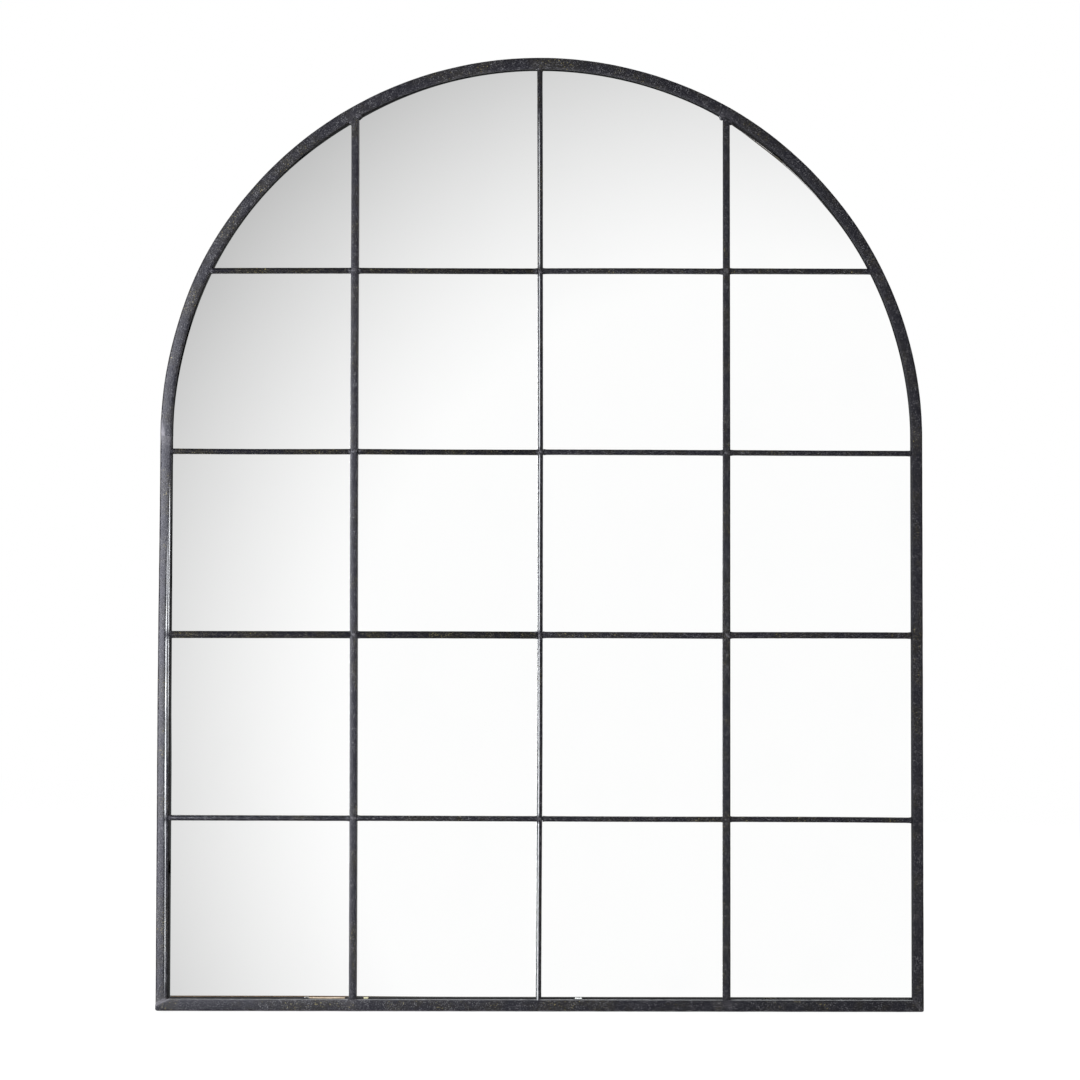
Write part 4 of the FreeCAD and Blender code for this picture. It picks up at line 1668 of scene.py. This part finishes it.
                # rods in the left half of the shaded rows take the darker copy, as painted shade
                darkened = row in self.shaded_rows and column < self.columns // 2
                finish = SHADED_IRON if darkened else DRAWN_IRON
                node = f"row_{row + 1}_rod_{column + 1}"
                make_piece(f"Cross_rod_{row + 1}_{column + 1}", [rod], [finish], IRON_SLOT, node)
            make_piece(f"Row_beads_{row + 1}", self.row_welds(row), [IRON], IRON_SLOT, f"row_{row + 1}_welds")
        make_piece("Flat_bar_beads", self.bar_welds(), [IRON], IRON_SLOT, "flat_bar_welds")
        make_piece("Centre_rod_beads", self.centre_welds(centre), [IRON], IRON_SLOT, "centre_rod_welds")


# ---------------------------------------------------------------- sheet, shims and board


@dataclass(frozen=True)
class Slip:
    """A wooden slip under the sheet: the place of its middle, its length and what tints it."""

    place: float
    length: float
    tint: Trait | None = None


@dataclass
class SheetStack:
    """What fills the frame: the mirror sheet, the slips that it stands on and the backing board."""

    outline: Outline
    glass_arris: float = 0.25 * MM
    board_arris: float = 0.8 * MM
    face_inset: float = 24.0
    arch_points: int = 241
    side_points: int = 41
    # the mirror's outline as it was cut; the flat places are in degrees about the arch's centre
    flat_places: tuple[Band, ...] = (
        Band(53.0, 6.0, 2.3 * MM),
        Band(43.0, 7.0, 1.4 * MM),
        Band(121.0, 11.0, 1.3 * MM),
        Band(165.0, 11.0, 1.1 * MM),
    )
    right_reach: float = 0.75 * MM
    reach_end: Fade = Fade(120.0 * MM, -120.0 * MM)
    foot_lift: tuple[float, float] = (1.6 * MM, 0.6 * MM)
    lift_fall: Fade = Fade(-260.0 * MM, 180.0 * MM)
    foot_end: Fade = Fade(0.08, -0.08)
    left_draw: float = 1.1 * MM
    at_left: Fade = Fade(-0.75, -0.25)
    draw_fall: Fade = Fade(0.54, -0.12)
    # slips
    slips: tuple[Slip, ...] = (
        Slip(-222.0 * MM, 37.0 * MM),
        Slip(-181.5 * MM, 4.5 * MM, Trait.WORN),
        Slip(40.0 * MM, 7.0 * MM, Trait.DRESSED_AND_SHEEN),
    )
    slip_setback: float = 0.15 * MM
    slip_edge: float = 0.25 * MM
    slip_steps: tuple[float, float] = (0.4 * MM, 2.0 * MM)
    slip_rough: tuple[float, float] = (0.10 * MM, 1.6 * MM)

    def arched_ring(self, span: Span, inset: float) -> np.ndarray:
        """The outline of an arched sheet, drawn in by inset: up the right side, over the arch, down the left.

        Args:
            span: the box of the CAD node that gives its size.
            inset: how far it is drawn in.

        Returns:
            Points across and up.
        """
        half, foot = span.high[0] - inset, span.low[2] + inset
        angle = np.linspace(0.0, math.pi, self.arch_points)
        arch = np.stack([half * np.cos(angle), self.outline.spring + half * np.sin(angle)], -1)
        rise = np.linspace(foot, self.outline.spring, self.side_points)[:-1]
        right = np.stack([np.full_like(rise, half), rise], -1)
        across = np.linspace(-half, half, self.side_points)[1:-1]
        base = np.stack([across, np.full_like(across, foot)], -1)
        return np.concatenate([right, arch, right[::-1] * (-1.0, 1.0), base])

    def hand_cut(self, flat: np.ndarray) -> np.ndarray:
        """The mirror's outline as cut by hand: its right edge reaches further, and its arch has flat places.

        Each flat place draws the edge in by a bell over the angle about the arch's centre. The lower edge is
        lifted, most at the left, and the left edge is drawn in, most of all below half height.

        Args:
            flat: points across and up.

        Returns:
            The points, moved.
        """
        x, rise, height = flat[:, 0], flat[:, 1] - self.outline.spring, flat[:, 1] / self.outline.spring
        arm = np.stack([x, np.maximum(rise, 0.0)], -1)
        angle = np.degrees(np.arctan2(arm[:, 1], x))
        drawn = sum(place.at(angle) for place in self.flat_places)
        cut = flat - arm * (drawn / np.maximum(np.linalg.norm(arm, axis=1), TINY))[:, None]
        share = x / self.outline.inner
        cut[:, 0] += self.right_reach * ease(share) * self.reach_end.at(rise)
        cut[:, 1] += between(*self.foot_lift, self.lift_fall.at(x)) * self.foot_end.at(height)
        low = 0.5 + 0.5 * self.draw_fall.at(height) * (rise < 0.0)
        cut[:, 0] += self.left_draw * self.at_left.at(share) * low
        return cut

    def sheet(self, node: str, arris: float, by_hand: bool) -> Skin:
        """A flat sheet with a small chamfer round both faces, as rings from its front to its back.

        Args:
            node: the CAD node that gives its size.
            arris: the chamfer's size.
            by_hand: whether its outline is the hand-cut one.

        Returns:
            The skin: two rings on the front face, two on the edge and two on the back face.
        """
        span = Span.of(node)
        front, back = span.low[1], span.high[1]
        inner = self.face_inset * arris
        rings = []
        for inset, y in (
            (inner, front),
            (arris, front),
            (0.0, front + arris),
            (0.0, back - arris),
            (arris, back),
            (inner, back),
        ):
            flat = self.arched_ring(span, inset)
            flat = self.hand_cut(flat) if by_hand else flat
            rings.append(np.insert(flat, 1, y, axis=1))
        return Skin(np.stack(rings))

    def slip(self, slip: Slip, seed: int) -> Skin:
        """One slip on the bottom rail: a thin section carried across, with rough-cut ends.

        Args:
            slip: where it is and how long.
            seed: the number that its roughness starts from.

        Returns:
            The skin.
        """
        span = Span.of("glass_shims")
        section = rounded_section(span.size[2], span.size[1] - 2 * self.slip_setback, self.slip_edge, 0.0, 2)
        share = stations(slip.length, *self.slip_steps)
        path = np.tile(span.middle, (len(share), 1))
        path[:, 0] = slip.place + (share - 0.5) * slip.length
        points, out = carry(path, Z_AXIS, section)
        depth, length = self.slip_rough
        cut = Grain(seed, length).at(points)
        skin = Skin(points - out * (depth * np.clip(cut + 0.5, 0.0, 1.0))[..., None])
        return skin.mark(slip.tint, 1.0) if slip.tint else skin

    def build(self) -> None:
        """Make the sheet, the slips and the board. Only the sheet's front face is silvered."""
        glass = self.sheet("mirror_glass", self.glass_arris, True)
        sheet = make_piece("Mirror_sheet", [glass], [Silvering(), GlassEdge()], "mirror", "mirror_glass").data
        normals = np.zeros(len(sheet.polygons) * 3)
        sheet.polygons.foreach_get("normal", normals)
        edge_or_back = normals.reshape(-1, 3)[:, 1] > FRONT_NORMAL
        sheet.polygons.foreach_set("material_index", edge_or_back.astype(np.int32))
        slips = [self.slip(slip, seed) for seed, slip in enumerate(self.slips, 31)]
        make_piece("Shims", slips, [ShimWood()], "shim_wood", "glass_shims")
        board = self.sheet("backing_board", self.board_arris, False)
        board.traits[2:4, :, Trait.SHADE_AND_DARK_EDGES.value] = 1.0
        make_piece("Backing_board", [board], [Fibreboard()], "backing_board", "backing_board")


# ---------------------------------------------------------------- fixings at the back


@dataclass
class BackFixings:
    """Clips, screws, lugs, straps and rings."""

    wire_points: int = 18
    bend_points: int = 9
    bow_points: int = 33
    ring_bend: float = 4.0 * MM

    def ring(self, node: str) -> Skin:
        """A D-ring: a round wire carried round a closed path of a straight bar, two bends and a bow.

        Args:
            node: its CAD node.

        Returns:
            The skin, its last row joined to its first.
        """
        span = Span.of(node)
        wire = span.size[1] / 2
        half = span.size[0] / 2 - wire
        hinge = next(joint for joint in frame["joints"] if joint["child"] == BODY_OF[node])["pos_m"][2]
        bend, heel = self.ring_bend, span.low[2] + wire + half
        quarter = np.linspace(0.0, math.pi / 2, self.bend_points)
        bow = np.linspace(0.0, math.pi, self.bow_points)
        right = np.stack([half - bend + bend * np.sin(quarter), hinge - bend + bend * np.cos(quarter)], -1)
        under = np.stack([half * np.cos(bow), heel - half * np.sin(bow)], -1)
        left = right[::-1] * (-1.0, 1.0)
        across = np.linspace(bend - half, half - bend, self.bend_points)[1:-1]
        bar = np.stack([across, np.full_like(across, hinge)], -1)
        path = np.insert(np.concatenate([right, under, left, bar]), 1, span.middle[1], axis=1)
        path[:, 0] += span.middle[0]
        run = np.roll(path, -1, 0) - np.roll(path, 1, 0)
        run /= np.linalg.norm(run, axis=1, keepdims=True)
        points, _ = carry(path, np.cross(run, Y_AXIS), round_section(wire, self.wire_points))
        return Skin(points, ring=True)

    def build(self) -> None:
        """Make the rings and dress the CAD nodes that stay."""
        zinc, nickel = ZincPlate(), NickelSteel()
        for side in ("left", "right"):
            node = f"{side}_hanger_ring"
            make_piece(f"D_ring_{side}", [self.ring(node)], [nickel], "hanger_steel", node)
            dress_node(f"{side}_hanger_strap", nickel)
            dress_node(f"{side}_hanger_lug", IRON)
        dress_node("hanger_welds", IRON)
        for node in ("retaining_clips", "clip_screws", "strap_screws"):
            dress_node(node, zinc)


# ---------------------------------------------------------------- studio


def link_new(name: str, data: bpy.types.ID) -> bpy.types.Object:
    """A new object of the scene that shows this mesh, lamp or camera.

    Args:
        name: its name.
        data: what it shows.

    Returns:
        The object.
    """
    made = bpy.data.objects.new(name, data)
    bpy.context.scene.collection.objects.link(made)
    return made


WHITE: Colour = (1.0, 1.0, 1.0)
COOL: Colour = (0.95, 0.99, 1.0)


@dataclass(frozen=True)
class Softbox:
    """A rectangular lamp: where it stands, what it faces, its width and height, its power and its colour."""

    name: str
    place: Triple
    aim: Triple
    size: tuple[float, float]
    watts: float
    colour: Colour

    def build(self) -> None:
        """Make the lamp, turned from its place to its aim."""
        light = bpy.data.lights.new(self.name, "AREA")
        light.shape, light.color, light.energy = "RECTANGLE", self.colour, self.watts
        light.size, light.size_y = self.size
        lamp = link_new(self.name, light)
        x, y, z = np.subtract(self.place, self.aim)
        lamp.location = self.place
        lamp.rotation_euler = (math.atan2(math.hypot(x, y), z), 0.0, math.atan2(x, -y))


@dataclass
class Studio:
    """Floor, surroundings, lamps and camera."""

    camera_place: Triple = (0.160, -3.2125, 0.372)
    camera_pitch: float = math.radians(2.142)
    camera_lens: float = 102.02
    camera_sensor: float = 36.0
    camera_shift: float = -0.142
    camera_reach: tuple[float, float] = (0.05, 50.0)
    screen_centre: tuple[float, float] = (0.0213, -0.0262)
    screen_reach: tuple[float, float] = (0.1348, 0.1482)
    screen_white: float = 1.008
    screen_fall: float = 0.747
    screen_power: float = 1.363
    least_ahead: float = 0.05
    far_grey: float = 0.42
    soft_light: float = 0.55
    floor_grey: Colour = (0.86, 0.86, 0.86)
    floor_glow: float = 1.07
    floor_whiteness: float = 0.88
    floor_reach: float = 6.0
    floor_drop: float = -0.4 * MM
    softboxes: tuple[Softbox, ...] = (
        Softbox("Left_softbox", (-0.78, -0.95, 0.35), (-0.2, 0.0, 0.40), (0.24, 1.05), 33.0, COOL),
        Softbox("Back_softbox", (0.9, 2.2, 2.0), (0.0, 0.0, 0.5), (1.6, 1.6), 60.0, WHITE),
    )

    def surroundings(self) -> None:
        """White to the camera, an even pale light on the object, and a soft white screen in reflections.

        In reflections the screen is white inside an ellipse of directions about the camera's side of the room
        and falls off outside it: white - fall * (d - 1)^power, where d is the distance from the ellipse's
        centre over its reach, both taken as slopes across and up per unit towards the camera's side.
        """
        world = bpy.data.worlds.new("Studio")
        bpy.context.scene.world = world
        world.use_nodes = True
        shade = Shade(world.node_tree)
        seat = shade.node("ShaderNodeTexCoord", {}, {})
        split = shade.node("ShaderNodeSeparateXYZ", {}, {"Vector": seat.outputs["Generated"]})
        across, deep, up = (Value(shade, socket) for socket in split.outputs)
        ahead = (0.0 - deep).least(self.least_ahead)
        u, w = (
            (way / ahead - centre) / reach
            for way, centre, reach in zip((across, up), self.screen_centre, self.screen_reach)
        )
        beyond = ((u * u + w * w) ** 0.5 - 1.0).least(0.0)
        screen = (self.screen_white - beyond**self.screen_power * self.screen_fall).least(self.far_grey)
        camera, glossy = shade.rays()
        glossy = glossy * (1.0 - camera)
        strength = camera + glossy * screen + (1.0 - camera) * (1.0 - glossy) * self.soft_light
        background = shade.node("ShaderNodeBackground", {}, {"Color": WHITE, "Strength": strength})
        shade.node("ShaderNodeOutputWorld", {}, {"Surface": background.outputs[0]})

    def floor(self) -> None:
        """A pale floor that keeps a faint shadow and that reflections look through to the surroundings."""
        mesh = bpy.data.meshes.new("Floor")
        reach = self.floor_reach
        corners = [(-reach, -reach), (reach, -reach), (reach, reach), (-reach, reach)]
        mesh.from_pydata([(x, y, self.floor_drop) for x, y in corners], [], [(0, 1, 2, 3)])
        material = bpy.data.materials.new("PaleFloor")
        material.use_nodes = True
        shade = Shade(material.node_tree)
        camera, glossy = shade.rays()
        matt = shade.node("ShaderNodeBsdfDiffuse", {}, {"Color": self.floor_grey})
        glow = shade.node("ShaderNodeEmission", {}, {"Color": WHITE, "Strength": self.floor_glow})
        clear = shade.node("ShaderNodeBsdfTransparent", {}, {})
        shares = {0: camera * self.floor_whiteness, 1: matt.outputs[0], 2: glow.outputs[0]}
        lit = shade.node("ShaderNodeMixShader", {}, shares)
        whole = shade.node("ShaderNodeMixShader", {}, {0: glossy, 1: lit.outputs[0], 2: clear.outputs[0]})
        shade.node("ShaderNodeOutputMaterial", {}, {"Surface": whole.outputs[0]})
        mesh.materials.append(material)
        link_new("Floor", mesh)

    def camera(self) -> None:
        """The camera at the photograph's place: in front, right of the middle and tilted a little up."""
        data = bpy.data.cameras.new("Camera")
        data.lens, data.sensor_width, data.shift_x = self.camera_lens, self.camera_sensor, self.camera_shift
        data.clip_start, data.clip_end = self.camera_reach
        camera = link_new("Camera", data)
        camera.location = self.camera_place
        camera.rotation_euler = (math.pi / 2 + self.camera_pitch, 0.0, 0.0)
        bpy.context.scene.camera = camera

    def build(self) -> None:
        """Set up everything round the object."""
        bpy.context.scene.view_settings.view_transform = "Standard"
        self.surroundings()
        self.floor()
        for softbox in self.softboxes:
            softbox.build()
        self.camera()
        LOG.info("studio: floor, surroundings, lamps and camera")


def main() -> None:
    """Build the mirror's looks round the frame."""
    logging.basicConfig(level=logging.INFO, format="%(name)s: %(message)s")
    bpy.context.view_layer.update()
    outline = Outline.from_frame()
    grid = WindowGrid(outline)
    FrameTube(outline).build(grid.bar_places())
    grid.build()
    SheetStack(outline).build()
    BackFixings().build()
    Studio().build()


if __name__ == "__main__":
    main()
